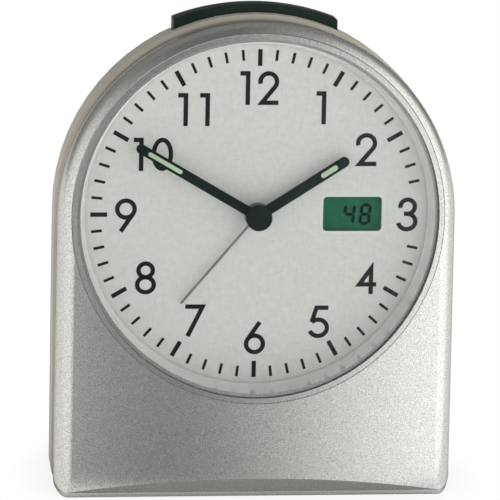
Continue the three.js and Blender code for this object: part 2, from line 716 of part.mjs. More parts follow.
// The knob's dish, button holes, slider slot, sound holes and the posts of the button board.
function cutBackControls(shell) {
  const dish = rod(dishRadius + WALL, backInner - WALL / 2, dishFloor + WALL, setterAxis, ROUND_MEDIUM);
  let body = shell.add(dish);
  body = body.subtract(rod(dishRadius, -BACK_DEPTH - OVER, dishFloor, setterAxis, ROUND_MEDIUM));
  body = body.subtract(rod(SETTER_RADIUS + RUN, -BACK_DEPTH, dishFloor + WALL + OVER, setterAxis));
  for (const axis of buttonAxes) {
    body = body.subtract(rod(BUTTON_RADIUS + GAP, -BACK_DEPTH - OVER, backInner + OVER, axis, ROUND_MEDIUM));
  }
  const slot = SLIDER_WIDTH / 2 + GAP;
  body = body.subtract(block(
    sliderX - slot, sliderX + SLIDER_TRAVEL + slot, buttonY - slot, buttonY + slot,
    -BACK_DEPTH - OVER, backInner + OVER,
  ));
  const soundAxes = [buzzerAxis];
  for (let i = 0; i < SOUND_HOLES; i++) {
    soundAxes.push(polar(SOUND_HOLE_RING, 360 * i / SOUND_HOLES).add(buzzerAxis));
  }
  for (const axis of soundAxes) {
    body = body.subtract(rod(SOUND_HOLE_RADIUS, -BACK_DEPTH - OVER, backInner + OVER, axis));
  }
  for (const axis of postAxes) {
    body = body.add(rod(POST_RADIUS, backInner - WALL / 2, controlBoardBack - GAP, axis));
    body = body.subtract(rod(SCREW_RADIUS + RUN, backInner, controlBoardBack, axis));
  }
  return body;
}

function lens() {
  const disc = rod(recess - GAP, 0, panelRise + WALL, centre, ROUND_LARGE);
  const bent = disc.subtract(aheadOfPanel(0));
  return bent.intersect(aheadOfPanel(-LENS_THICK));
}

function reflectorRing() {
  const top = panelRise - lensSeat;
  const outline = [[dialEdge, GAP], [ringOuter, GAP], [ringOuter, top], [ringOuter - RING_TOP, top]];
  const blank = turned(outline, ROUND_LARGE);
  return blank.subtract(aheadOfPanel(-lensSeat));
}

function dial() {
  const disc = rod(ringOuter, -DIAL_THICK, 0, centre, ROUND_LARGE);
  const opening = roundedRectangle(WINDOW_WIDTH, WINDOW_HEIGHT, WINDOW_CORNER);
  const window = slab(opening, -DIAL_THICK - OVER, OVER).translate(displayX, WINDOW_RISE, 0);
  return disc.subtract(rod(bushInner, -DIAL_THICK - OVER, OVER)).subtract(window);
}

// Hands, drawn pointing up

// A straight hand with a round tip, a tail and a hub that fits a tube of the given radius.
function hand(length, width, tubeRadius, z0, z1) {
  const half = width / 2;
  const shape = new THREE.Shape();
  shape.absarc(0, length - half, half, 0, Math.PI);
  shape.absarc(0, half - HAND_TAIL, half, Math.PI, 2 * Math.PI);
  const hole = tubeRadius + RUN;
  const blank = slab(shape, z0, z1).add(rod(hole + HUB_WALL, z0, z1, centre, ROUND_MEDIUM));
  return blank.subtract(rod(hole, z0 - OVER, z1 + OVER));
}

// The outline of a luminous strip with round ends, widened all round by a margin.
function lumeOutline(handLength, length, width, margin) {
  const half = width / 2;
  const tip = handLength - LUME_INSET;
  const shape = new THREE.Shape();
  shape.absarc(0, tip - half, half + margin, 0, Math.PI);
  shape.absarc(0, tip - length + half, half + margin, Math.PI, 2 * Math.PI);
  return shape;
}

function minuteLume(margin, z0, z1) {
  return slab(lumeOutline(MINUTE_LENGTH, MINUTE_LUME_LENGTH, MINUTE_LUME_WIDTH, margin), z0, z1);
}

function hourLume(margin, z0, z1) {
  return slab(lumeOutline(HOUR_LENGTH, HOUR_LUME_LENGTH, HOUR_LUME_WIDTH, margin), z0, z1);
}

function minuteHand() {
  const blank = hand(MINUTE_LENGTH, MINUTE_WIDTH, ARBOR_RADIUS, minuteHandBack, minuteHandFront);
  return blank.subtract(minuteLume(RUN / 2, minuteHandFront - LUME_DEPTH - RUN / 2, minuteHandFront + OVER));
}

function hourHand() {
  const blank = hand(HOUR_LENGTH, HOUR_WIDTH, hourOuter, hourHandBack, hourHandFront);
  return blank.subtract(hourLume(RUN / 2, hourHandFront - LUME_DEPTH - RUN / 2, hourHandFront + OVER));
}

function hubCap() {
  const edge = CAP_THICK / 3;
  const disc = turned([
    [0, capBack],
    [CAP_RADIUS, capBack],
    [CAP_RADIUS, capBack + CAP_THICK - edge],
    [CAP_RADIUS - edge, capBack + CAP_THICK],
    [0, capBack + CAP_THICK],
  ], ROUND_MEDIUM);
  return disc.subtract(rod(ARBOR_RADIUS + RUN, capBack - OVER, capBack + CAP_THICK / 2));
}

// Display

function displayFrame() {
  const x = frameWidth / 2;
  const y = frameHeight / 2;
  const pocketX = displayWidth / 2 + GAP;
  const pocketY = displayHeight / 2 + GAP;
  const pocket = block(-pocketX, pocketX, -pocketY, pocketY, displayBack - GAP, 0);
  return block(-x, x, -y, y, frameBack, frameFront).subtract(pocket);
}

// Movement

function movementTray() {
  const left = trayLeft - TRAY_WALL;
  const right = trayRight + TRAY_WALL;
  const bottom = trayBottom - TRAY_WALL;
  const top = trayTop + TRAY_WALL;
  let body = block(left, right, bottom, top, lidFront + GAP, trayFront);
  body = body.subtract(block(trayLeft, trayRight, trayBottom, trayTop, lidFront - OVER, trayInner));
  body = body.add(rod(bushOuter, trayFront - PLATE / 2, floorFront, centre, ROUND_MEDIUM));
  body = body.subtract(rod(bushInner, trayInner - OVER, floorFront + OVER, centre, ROUND_MEDIUM));
  for (const axis of [motionAxis, secondAxis, rotorAxis]) {
    body = body.subtract(rod(ARBOR_RADIUS + RUN, trayInner - OVER, trayFront + OVER, axis));
  }
  return body.subtract(rod(SETTER_RADIUS + RUN, trayInner - OVER, trayFront + OVER, setterAxis));
}

function movementLid() {
  const left = trayLeft - TRAY_WALL;
  const right = trayRight + TRAY_WALL;
  let body = block(left, right, trayBottom - TRAY_WALL, trayTop + TRAY_WALL, lidBack, lidFront);
  for (const axis of earAxes) {
    const inner = axis.y > 0 ? trayTop : trayBottom;
    const low = Math.min(inner, axis.y);
    const high = Math.max(inner, axis.y);
    body = body.add(rod(EAR_RADIUS, lidBack, lidFront, axis));
    body = body.add(block(axis.x - EAR_RADIUS, axis.x + EAR_RADIUS, low, high, lidBack, lidFront));
    body = body.subtract(rod(earHole, lidBack - OVER, lidFront + OVER, axis));
  }
  for (const axis of [centre, motionAxis, secondAxis, rotorAxis]) {
    body = body.subtract(rod(ARBOR_RADIUS + RUN, lidBack - OVER, lidFront + OVER, axis));
  }
  return body.subtract(rod(SETTER_RADIUS + RUN, lidBack - OVER, lidFront + OVER, setterAxis));
}

// The shaft that carries the minute hand, with the large wheel and the cannon pinion.
function minuteWheel() {
  const shaft = rod(ARBOR_RADIUS, lidBack + RUN, capBack + CAP_THICK / 2 - RUN);
  const cannon = gear(CANNON_TEETH, MOTION_MODULE, wheelBack(2), wheelFront(2), 0);
  const wheel = gear(MINUTE_TEETH, TRAIN_MODULE, wheelBack(3), wheelFront(3), 0);
  return shaft.add(cannon.rotate(toothAt(MOTION_DIRECTION))).add(wheel.rotate(toothAt(SECOND_DIRECTION)));
}

function hourWheel() {
  const wheel = gear(HOUR_TEETH, hourModule, wheelBack(1), wheelFront(1), hourInner);
  const pipe = tube(hourOuter, hourInner, wheelBack(1), hourHandFront + GAP);
  const bore = rod(hourInner, wheelBack(1) - OVER, 0);
  return wheel.rotate(toothAt(MOTION_DIRECTION)).add(pipe).subtract(bore);
}

function alarmWheel() {
  const wheel = gear(ALARM_TEETH, ALARM_MODULE, wheelBack(0), wheelFront(0), alarmInner);
  const pipe = tube(alarmOuter, alarmInner, wheelBack(0), alarmHandFront + GAP);
  const bore = rod(alarmInner, wheelBack(0) - OVER, 0);
  return wheel.rotate(toothAt(SETTER_DIRECTION)).add(pipe).subtract(bore);
}

// Drawn about its own axis, as are the next three.
function motionWheel() {
  const back = MOTION_DIRECTION + 180;
  const shaft = rod(ARBOR_RADIUS, lidBack + RUN, trayFront - RUN);
  const wheel = gear(MOTION_TEETH, MOTION_MODULE, wheelBack(2), wheelFront(2), 0);
  const pinion = gear(MOTION_PINION_TEETH, hourModule, wheelBack(2), wheelFront(1), 0);
  const turnedPinion = pinion.rotate(gapAt(back, MOTION_PINION_TEETH));
  return shaft.add(wheel.rotate(gapAt(back, MOTION_TEETH))).add(turnedPinion);
}

function secondWheel() {
  const back = SECOND_DIRECTION + 180;
  const shaft = rod(ARBOR_RADIUS, lidBack + RUN, trayFront - RUN);
  const wheel = gear(SECOND_TEETH, ROTOR_MODULE, wheelBack(4), wheelFront(4), 0);
  const pinion = gear(SECOND_PINION_TEETH, TRAIN_MODULE, wheelBack(4), wheelFront(3), 0);
  const turnedPinion = pinion.rotate(gapAt(back, SECOND_PINION_TEETH));
  return shaft.add(wheel.rotate(toothAt(ROTOR_DIRECTION))).add(turnedPinion);
}

function rotor() {
  const back = ROTOR_DIRECTION + 180;
  const middle = statorFront - STATOR_THICK / 2;
  const shaft = rod(ARBOR_RADIUS, lidBack + RUN, trayFront - RUN);
  const halfLength = MAGNET_LENGTH / 2;
  const magnet = rod(MAGNET_RADIUS, middle - halfLength, middle + halfLength, centre, ROUND_MEDIUM);
  const pinion = gear(ROTOR_TEETH, ROTOR_MODULE, wheelBack(4), wheelFront(4), 0);
  return shaft.add(magnet).add(pinion.rotate(gapAt(back, ROTOR_TEETH)));
}

function alarmSetter() {
  const shaft = rod(SETTER_RADIUS, dishFloor - DISH_DEPTH, trayFront - RUN);
  const pinion = gear(SETTER_TEETH, ALARM_MODULE, wheelBack(0), wheelFront(0), 0);
  return shaft.add(pinion.rotate(gapAt(SETTER_DIRECTION + 180, SETTER_TEETH)));
}

// The pole plate round the magnet and the core bar above it, which carries the coil.
function stator() {
  const left = rotorAxis.x - statorHalf;
  const right = coilRight + CORE_WIDTH;
  const low = coreY - CORE_WIDTH / 2;
  const high = coreY + CORE_WIDTH / 2;
  const back = statorFront - STATOR_THICK;
  const pole = block(left, left + 2 * statorHalf, rotorAxis.y - statorHalf, high, back, statorFront);
  const core = block(left, right, low, high, back, statorFront);
  return pole.add(core).subtract(rod(magnetHole, back - OVER, statorFront + OVER, rotorAxis, ROUND_MEDIUM));
}

function motorCoil() {
  const middle = statorFront - STATOR_THICK / 2;
  const halfDepth = STATOR_THICK / 2 + GAP;
  const halfWidth = CORE_WIDTH / 2 + GAP;
  const outside = roundedRectangle(2 * coilHalf, 2 * (halfDepth + COIL_WALL), COIL_WALL);
  const winding = slab(outside, 0, COIL_LENGTH).rotate([0, 90, 0]).rotate([90, 0, 0]);
  const hole = block(
    coilLeft - OVER, coilRight + OVER, coreY - halfWidth, coreY + halfWidth,
    middle - halfDepth, middle + halfDepth,
  );
  return winding.translate(coilLeft, coreY, middle).subtract(hole);
}

// Boards and what they carry

function circuitBoard() {
  let board = block(-boardHalf, boardHalf, boardBottom, boardTop, boardBack, boardFront);
  for (const axis of earAxes) {
    board = board.subtract(rod(earHole, boardBack - OVER, boardFront + OVER, axis));
  }
  for (const axis of [centre, motionAxis, secondAxis, rotorAxis]) {
    board = board.subtract(rod(ARBOR_RADIUS + 2 * RUN, boardBack - OVER, boardFront + OVER, axis));
  }
  return board.subtract(rod(SETTER_RADIUS + 2 * RUN, boardBack - OVER, boardFront + OVER, setterAxis));
}

function snoozeSwitch() {
  const half = SWITCH_SIZE / 2;
  const body = block(-half, half, boardTop - SWITCH_SIZE, boardTop, switchZ - half, switchZ + half);
  const plunger = rod(PLUNGER_RADIUS, 0, PLUNGER_LENGTH + PLUNGER_ROOT).rotate([-90, 0, 0]);
  return body.add(plunger.translate(0, boardTop - PLUNGER_ROOT, switchZ));
}

function buttonSwitch() {
  const half = TACT_WIDTH / 2;
  const body = block(-half, half, -half, half, tactBack, controlBoardBack - GAP);
  return body.add(rod(PLUNGER_RADIUS, tactBack - TACT_PLUNGER, tactBack + PLUNGER_ROOT));
}

function buttonBoard() {
  const low = buttonY - BUTTON_BOARD_HEIGHT / 2;
  const high = low + BUTTON_BOARD_HEIGHT;
  let board = block(-boardHalf, boardHalf, low, high, controlBoardBack, controlBoardFront);
  for (const axis of postAxes) {
    const hole = rod(SCREW_RADIUS + GAP, controlBoardBack - OVER, controlBoardFront + OVER, axis);
    board = board.subtract(hole);
  }
  return board;
}

// What presses, slides and opens

function snoozeBar() {
  const reach = SNOOZE_WIDTH / 2 - SNOOZE_BEVEL;
  const pivot = snoozeTop - SNOOZE_RADIUS;
  const upper = SNOOZE_RADIUS - SNOOZE_BEVEL;
  const lower = SNOOZE_RADIUS - SNOOZE_HEIGHT + SNOOZE_BEVEL;
  const upperTurn = Math.asin(reach / upper);
  const lowerTurn = Math.asin(reach / lower);
  const shape = new THREE.Shape();
  shape.absarc(0, pivot, upper, Math.PI / 2 - upperTurn, Math.PI / 2 + upperTurn);
  shape.absarc(0, pivot, lower, Math.PI / 2 + lowerTurn, Math.PI / 2 - lowerTurn, true);
  const geometry = new THREE.ExtrudeGeometry(shape, {
    depth: SNOOZE_DEPTH - 2 * SNOOZE_BEVEL,
    bevelSize: SNOOZE_BEVEL,
    bevelThickness: SNOOZE_BEVEL,
    bevelSegments: BEVEL_STEPS,
    curveSegments: ROUND_SMALL,
  });
  const bar = solid(geometry.translate(0, 0, snoozeBack + SNOOZE_BEVEL));
  const half = STEM_WIDTH / 2;
  const top = pivot + lower;
  return bar.add(block(-half, half, stemEnd, top, switchZ - STEM_DEPTH / 2, switchZ + STEM_DEPTH / 2));
}

function backButton() {
  const dome = BUTTON_PROUD / 3;
  const outer = BUTTON_RADIUS + BUTTON_FLANGE;
  return turned([
    [0, -BACK_DEPTH - BUTTON_PROUD],
    [BUTTON_RADIUS - dome, -BACK_DEPTH - BUTTON_PROUD],
    [BUTTON_RADIUS, -BACK_DEPTH - BUTTON_PROUD + dome],
    [BUTTON_RADIUS, flangeBack],
    [outer, flangeBack],
    [outer, flangeFront],
    [0, flangeFront],
  ], ROUND_MEDIUM);
}

function alarmSlider() {
  const half = SLIDER_WIDTH / 2;
  const rise = half + GAP + SLIDER_OVERLAP;
  const plate = block(-sliderReach, sliderReach, -rise, rise, flangeBack, flangeFront);
  return plate.add(block(-half, half, -half, half, -BACK_DEPTH - SLIDER_PROUD, flangeFront));
}

function knob() {
  const points = [];
  for (let i = 0; i < 2 * KNOB_RIDGES; i++) {
    points.push(polar(KNOB_RADIUS - (i % 2) * KNOB_RIDGE_DEPTH, 180 * i / KNOB_RIDGES));
  }
  const body = slab(new THREE.Shape(points), -BACK_DEPTH - KNOB_PROUD, dishFloor - GAP);
  return body.subtract(rod(SETTER_RADIUS + RUN, dishFloor - DISH_DEPTH - GAP, dishFloor + OVER));
}

function batteryDoor() {
  const half = tubHalfLength - GAP;
  const top = batteryY + tubHalfHeight - GAP;
  const shape = new THREE.Shape();
  shape.absarc(hingeZ, hingeY, hingeRadius, Math.PI, 2 * Math.PI);
  shape.lineTo(hingeZ + hingeRadius, top);
  shape.lineTo(hingeZ - hingeRadius, top);
  const options = { depth: 2 * half, bevelEnabled: false, curveSegments: ROUND_SMALL / 2 };
  const geometry = new THREE.ExtrudeGeometry(shape, options).rotateY(-Math.PI / 2).translate(half, 0, 0);
  const pin = half + HINGE_PIN_LENGTH;
  return solid(geometry).add(crossRod(HINGE_PIN_RADIUS, -pin, pin, hingeY, hingeZ));
}

// Battery, lying along X with its positive end at the right
function battery() {
  const half = BATTERY_LENGTH / 2;
  const shoulder = half - NUB_LENGTH;
  const cell = turned([
    [0, -half],
    [BATTERY_RADIUS - BATTERY_EDGE, -half],
    [BATTERY_RADIUS, BATTERY_EDGE - half],
    [BATTERY_RADIUS, shoulder - BATTERY_EDGE],
    [BATTERY_RADIUS - BATTERY_EDGE, shoulder],
    [NUB_RADIUS, shoulder],
    [NUB_RADIUS, half],
    [0, half],
  ], ROUND_MEDIUM);
  return cell.rotate([0, 90, 0]);
}

function batteryContact(side) {
  const inner = side * (BATTERY_LENGTH / 2 + GAP);
  const outer = inner + side * CONTACT_THICK;
  const half = CONTACT_WIDTH / 2;
  const low = Math.min(inner, outer);
  const high = Math.max(inner, outer);
  return block(low, high, batteryY - half, batteryY + half, batteryZ - half, batteryZ + half);
}

// Assembly

const SILVER = { color: 0xa9aba6, roughness: 0.38, metalness: 0.6 };
const CLEAR = { color: 0xeef3f2, roughness: 0.05, metalness: 0, transparent: true, opacity: 0.2 };
const PALE = { color: 0xd2d2cc, roughness: 0.3, metalness: 0.1 };
const DIAL = { color: 0xc9cac4, roughness: 0.6, metalness: 0.1 };
const BLACK = { color: 0x14181a, roughness: 0.5, metalness: 0 };
const LUME = { color: 0xa8c98f, roughness: 0.7, metalness: 0 };
const BRIGHT = { color: 0xb8bab8, roughness: 0.3, metalness: 1 };
const DISPLAY = { color: 0x2d6a50, roughness: 0.2, metalness: 0 };
const WHITE = { color: 0xe6e4dc, roughness: 0.5, metalness: 0 };
const BOARD = { color: 0x1f5a36, roughness: 0.5, metalness: 0 };
const COPPER = { color: 0xb06a35, roughness: 0.35, metalness: 1 };
const FERRITE = { color: 0x303134, roughness: 0.6, metalness: 0.2 };
const TEAL = { color: 0x15302b, roughness: 0.45, metalness: 0 };
const BRASS = { color: 0xb89a55, roughness: 0.35, metalness: 1 };

// The leaning group that holds every piece, drawn in the dial's frame.
const clock = new THREE.Group();
clock.rotation.x = Math.PI / 2 - THREE.MathUtils.degToRad(LEAN_DEGREES);
clock.position.z = DIAL_HEIGHT;

// Adds a piece, moved to a place in the dial's frame and turned clockwise as the viewer sees it.
function add(name, piece, finish, place = [0, 0, 0], clockwise = 0) {
  const { vertProperties, triVerts } = piece.getMesh();
  const geometry = new THREE.BufferGeometry();
  geometry.setAttribute('position', new THREE.BufferAttribute(new Float32Array(vertProperties), 3));
  geometry.setIndex(new THREE.BufferAttribute(new Uint32Array(triVerts), 1));
  geometry.computeVertexNormals();
  const mesh = new THREE.Mesh(geometry, new THREE.MeshStandardMaterial(finish));
  mesh.name = name;
  mesh.position.set(...place);
  mesh.rotation.z = -THREE.MathUtils.degToRad(clockwise);
  clock.add(mesh);
}

const on = (axis, z = 0) => [axis.x, axis.y, z];

add('front_case', frontCase(), SILVER);
add('rear_case', rearCase(), SILVER);
add('lens', lens(), CLEAR);
add('reflector_ring', reflectorRing(), PALE);
add('dial', dial(), DIAL);

const alarmHand = hand(ALARM_LENGTH, ALARM_WIDTH, alarmOuter, alarmHandBack, alarmHandFront);
add('alarm_hand', alarmHand, BRIGHT, [0, 0, 0], ALARM_DEGREES);
add('hour_hand', hourHand(), BLACK, [0, 0, 0], HOUR_DEGREES);
add('hour_lume', hourLume(0, hourHandFront - LUME_DEPTH, hourHandFront), LUME, [0, 0, 0], HOUR_DEGREES);
add('minute_hand', minuteHand(), BLACK, [0, 0, 0], MINUTE_DEGREES);
const minuteStrip = minuteLume(0, minuteHandFront - LUME_DEPTH, minuteHandFront);
add('minute_lume', minuteStrip, LUME, [0, 0, 0], MINUTE_DEGREES);
add('hub_cap', hubCap(), BLACK);

const displayHalfX = displayWidth / 2;
const displayHalfY = displayHeight / 2;
const displayGlass = block(
  -displayHalfX, displayHalfX, -displayHalfY, displayHalfY, displayBack, displayFront,
);
add('display', displayGlass, DISPLAY, [displayX, WINDOW_RISE, 0]);
add('display_frame', displayFrame(), WHITE, [displayX, WINDOW_RISE, 0]);
const leadLeft = displayX - frameWidth / 2 + GAP;
const leadHalf = LEAD_THICK / 2;
const lead = block(leadLeft, leadLeft + LEAD_WIDTH, -leadHalf, leadHalf, boardFront + GAP, frameBack - GAP);
add('display_lead', lead, COPPER);

add('movement_tray', movementTray(), WHITE);
add('movement_lid', movementLid(), WHITE);
add('minute_wheel', minuteWheel(), BRASS);
add('hour_wheel', hourWheel(), WHITE);
add('motion_wheel', motionWheel(), WHITE, on(motionAxis));
add('second_wheel', secondWheel(), WHITE, on(secondAxis));
add('rotor', rotor(), BRIGHT, on(rotorAxis));
add('stator', stator(), BRIGHT);
add('motor_coil', motorCoil(), COPPER);
add('alarm_wheel', alarmWheel(), WHITE);
add('alarm_setting_shaft', alarmSetter(), WHITE, on(setterAxis));
add('alarm_knob', knob(), TEAL, on(setterAxis));

add('circuit_board', circuitBoard(), BOARD);
const chipY = (boardBottom + setterAxis.y) / 2;
const chipHalf = CHIP_WIDTH / 2;
const chipBack = boardBack - GAP - CHIP_THICK;
const chip = block(-chipHalf, chipHalf, -chipHalf, chipHalf, chipBack, boardBack - GAP);
add('clock_chip', chip, BLACK, [setterAxis.x + chipHalf, chipY, 0]);
const crystal = crossRod(CRYSTAL_RADIUS, 0, CRYSTAL_LENGTH, 0, boardBack - GAP - CRYSTAL_RADIUS);
add('quartz_crystal', crystal, BRIGHT, [setterAxis.x - 2 * CRYSTAL_LENGTH, chipY, 0]);
add('snooze_switch', snoozeSwitch(), BLACK);
const rodHalf = ROD_LENGTH / 2;
const coilHalfLength = ROD_COIL_LENGTH / 2;
const antennaRod = crossRod(ROD_RADIUS, -rodHalf, rodHalf, rodY, rodZ, ROUND_MEDIUM);
const antennaBore = crossRod(ROD_RADIUS + GAP, -rodHalf, rodHalf, rodY, rodZ, ROUND_MEDIUM);
const antennaCoil = crossRod(ROD_COIL_RADIUS, -coilHalfLength, coilHalfLength, rodY, rodZ, ROUND_MEDIUM);
add('antenna_rod', antennaRod, FERRITE);
add('antenna_coil', antennaCoil.subtract(antennaBore), COPPER);

add('snooze_bar', snoozeBar(), TEAL);
buttonAxes.forEach((axis, i) => {
  add(`set_button_${i + 1}`, backButton(), TEAL, on(axis));
  add(`button_switch_${i + 1}`, buttonSwitch(), BLACK, on(axis));
});
add('alarm_slider', alarmSlider(), TEAL, [sliderX, buttonY, 0]);
const slideHalf = SLIDER_WIDTH / 2 + GAP;
const slideFront = controlBoardBack - GAP;
const slideBack = flangeFront + GAP;
const slideRight = slideHalf + SLIDER_TRAVEL;
const slideSwitch = block(-slideHalf, slideRight, -slideHalf, slideHalf, slideBack, slideFront);
add('slide_switch', slideSwitch, BRIGHT, [sliderX, buttonY, 0]);
add('button_board', buttonBoard(), BOARD);
const buzzer = rod(BUZZER_RADIUS, flangeBack, flangeBack + BUZZER_THICK, buzzerAxis, ROUND_MEDIUM);
add('buzzer', buzzer, BRASS);

add('battery', battery(), BRASS, [0, batteryY, batteryZ]);
add('battery_contact_plus', batteryContact(1), BRIGHT);
add('battery_contact_minus', batteryContact(-1), BRIGHT);
add('battery_door', batteryDoor(), SILVER);

screwAxes.forEach((axis, i) => {
  add(`case_screw_${i + 1}`, screw(caseScrewTip - caseScrewSeat), BRIGHT, on(axis, caseScrewSeat));
});
earAxes.forEach((axis, i) => {
  const shank = BOARD_THICK + PLATE + SCREW_GRIP;
  add(`movement_screw_${i + 1}`, screw(shank), BRIGHT, on(axis, boardBack - GAP));
});
postAxes.forEach((axis, i) => {
  const shank = controlBoardFront + GAP - backInner - GAP;
  const piece = screw(shank).rotate([180, 0, 0]);
  add(`button_board_screw_${i + 1}`, piece, BRIGHT, on(axis, controlBoardFront + GAP));
});

// The origin lies under the middle of the clock.
const part = new THREE.Group();
part.add(clock);
part.updateMatrixWorld(true);
const box = new THREE.Box3().setFromObject(part, true);
clock.position.y = -(box.min.y + box.max.y) / 2;

export default part;
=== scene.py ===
import json
import math

import bpy
import numpy as np
from mathutils import Matrix, Vector


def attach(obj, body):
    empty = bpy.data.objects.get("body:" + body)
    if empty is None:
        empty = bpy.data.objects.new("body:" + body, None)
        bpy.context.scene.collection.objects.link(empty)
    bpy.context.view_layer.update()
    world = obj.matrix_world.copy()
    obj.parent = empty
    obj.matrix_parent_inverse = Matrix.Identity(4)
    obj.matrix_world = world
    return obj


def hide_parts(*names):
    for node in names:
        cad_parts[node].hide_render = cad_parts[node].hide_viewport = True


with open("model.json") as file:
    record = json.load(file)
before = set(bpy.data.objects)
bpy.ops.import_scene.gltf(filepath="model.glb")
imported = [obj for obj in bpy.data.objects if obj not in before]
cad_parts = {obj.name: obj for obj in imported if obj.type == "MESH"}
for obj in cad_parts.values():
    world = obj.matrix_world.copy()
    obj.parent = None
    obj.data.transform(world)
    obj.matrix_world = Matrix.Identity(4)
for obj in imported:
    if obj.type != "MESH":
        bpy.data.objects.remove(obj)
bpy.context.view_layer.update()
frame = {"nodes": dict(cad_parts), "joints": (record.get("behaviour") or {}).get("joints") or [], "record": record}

# Looks of an arched alarm clock: silver case, clear lens, printed dial, hands, display, snooze bar.
# Pieces are drawn in millimetres in the dial's frame: X right, Y up the dial, Z out of the dial, with its
# centre as the origin. to_shared() carries them into the shared frame, in metres.

MM = 0.001

# The dial's frame, from the joint that the hands turn on
hands_joint = next(joint for joint in frame["joints"] if joint["name"] == "minute_turn")
DIAL_CENTRE = np.array(hands_joint["pos_m"], float)
DIAL_OUT = -np.array(hands_joint["axis"], float)
DIAL_RIGHT = np.array([1.0, 0.0, 0.0])
DIAL_UP = np.cross(DIAL_OUT, DIAL_RIGHT)
DIAL_AXES = np.stack([DIAL_RIGHT, DIAL_UP, DIAL_OUT])
LEAN = math.atan2(DIAL_OUT[2], -DIAL_OUT[1])
DIAL_HEIGHT = DIAL_CENTRE[2] / MM  # above the table

# Case
ARCH_RADIUS = 50.0
ARCH_Y = -0.8  # centre of the arch
SIDE_FLARE = 0.45  # how far each flank spreads down to the foot
CASE_WALL = 2.0
PANEL_RADIUS = 370.0  # the panel bows out sideways
PANEL_RISE = 8.507  # its middle ahead of the dial
EDGE_FILLET = 4.2
FILLET_MARGIN = 0.05  # between the lens opening and the edge's rounding
CORNER_RADIUS = 3.4
LIP_HEIGHT = 1.1
LIP_FRONT = 5.4
LIP_STEP = 0.4  # first step back along the base behind the lip's front
UNDERCUT_SLOPE = math.tan(math.radians(53.2))
PARTING = -6.0  # depth of the line between front and rear case
DRAFT = 0.8  # how far the flanks draw in on the way back to it
PARTING_ROUND = 0.35  # softened edge at the parting line

# Lens, ring and bowl
RECESS_RADIUS = 46.75
BOWL_RADIUS = 45.2
SEAT_DEPTH = 1.9  # lens seat below the panel
RECESS_EDGE = 0.1  # softened edge round the lens
BOWL_FLOOR_FRONT = -1.1
BOWL_FLOOR_BACK = -2.6
BOWL_HOLE_RADIUS = 36.0
LENS_RADIUS = 46.6
LENS_THICK = 1.6
LENS_EDGE = 0.1
LENS_MIDDLE = 0.5  # radius of the flat disc that closes the lens's middle
RING_OUTER = 44.9
RING_INNER = 43.2
RING_TOP = 0.4  # width of its flat top
RING_FOOT_Z = 0.3
RING_BEND = 0.6  # power by which the ring's wall gets steeper upwards
BORDER_INNER = 45.4  # silver border of the lens
BORDER_OUTER = 46.67  # past the lens, so that only a fine line is left round it
BORDER_THICK = 0.02
BEZEL_LOW = 0.03  # bezel between ring and lens: its inner edge above the lens seat
BEZEL_HIGH = 0.14  # its outer edge

# Hands: length, width, angle clockwise from twelve, back, thickness, hub and bore radii
MINUTE_HAND = dict(length=35.5, width=2.4, degrees=300.2, back=3.6, thick=0.6, hub=1.8, bore=1.1)
HOUR_HAND = dict(length=26.7, width=2.6, degrees=57.2, back=2.3, thick=0.6, hub=2.55, bore=1.85)
ALARM_HAND = dict(length=29.4, width=0.6, degrees=220.1, back=1.2, thick=0.4, hub=3.3, bore=2.6)
HAND_TAIL = 2.6  # reach behind the axis
HAND_BEVEL = 0.15
LUME_INSET = 3.3  # luminous strips: from the hand's tip
LUME_DEPTH = 0.3
LUME_PROUD = 0.02
LUME_CROWN = 0.06
MINUTE_LUME = dict(length=9.8, width=1.05)
HOUR_LUME = dict(length=4.8, width=1.3)
CAP_RADIUS = 3.3
CAP_BACK = 4.5
CAP_THICK = 0.9
CAP_ROUND = 0.3
CAP_BORE = 1.1
CAP_CHAMFER = 0.1  # at its back edge
CAP_MIDDLE = 0.1  # radius of the small discs that close its profile

# Print on the dial
PRINT_LIFT = 0.01  # between the ink and the face below it
PRINT_THICK = 0.03
TICK_MIDDLE = 40.4
TICK_LENGTH = 2.75
TICK_WIDTH = 0.7
LONG_TICK_MIDDLE = 39.65
LONG_TICK_LENGTH = 4.2
LONG_TICK_WIDTH = 1.1
BARE_MINUTES = (14, 15, 16)  # covered by the numeral at three o'clock
MINUTE_DEGREES = 6
NUMERAL_HALF_HEIGHT = 4.175
NUMERAL_HALF_STROKE = 0.56
NUMERAL_PLACES = {  # middle across and up, width, height
    "12": (-0.01, 31.98, 9.75, 8.5), "1": (15.54, 27.07, 2.5, 8.3), "2": (27.12, 16.49, 5.55, 8.4),
    "3": (37.97, -0.03, 5.4, 8.7), "4": (27.91, -16.26, 5.4, 8.4), "5": (16.23, -27.57, 5.4, 8.4),
    "6": (0.06, -31.55, 5.4, 8.6), "7": (-14.98, -27.17, 5.25, 8.4), "8": (-27.72, -16.12, 5.3, 8.45),
    "9": (-32.88, -0.25, 5.45, 8.7), "10": (-26.25, 15.24, 9.9, 8.4), "11": (-16.31, 26.53, 7.95, 8.3),
}
DIGIT_WIDTHS = {"0": 5.4, "1": 2.5, "2": 5.6}  # in numerals of two figures

# Display: window in the dial, figures on the glass
WINDOW_X = 24.14
WINDOW_Y = 0.1
WINDOW_WIDTH = 14.9
WINDOW_HEIGHT = 8.8
WINDOW_CORNER = 1.0
WINDOW_BORDER = 0.35
SAME_POINT = 1e-6  # corners of its edge line closer than this are one
GLASS_FRONT = -1.1
FIGURE_HEIGHT = 5.6
FIGURE_WIDTH = 3.0
FIGURE_STROKE = 0.85
FIGURE_SLANT = 0.09
FIGURE_GAP = 0.06  # from a bar's point to the corner of its figure
FIGURE_PLACES = {"4": (23.45, -0.17), "8": (27.5, -0.17)}

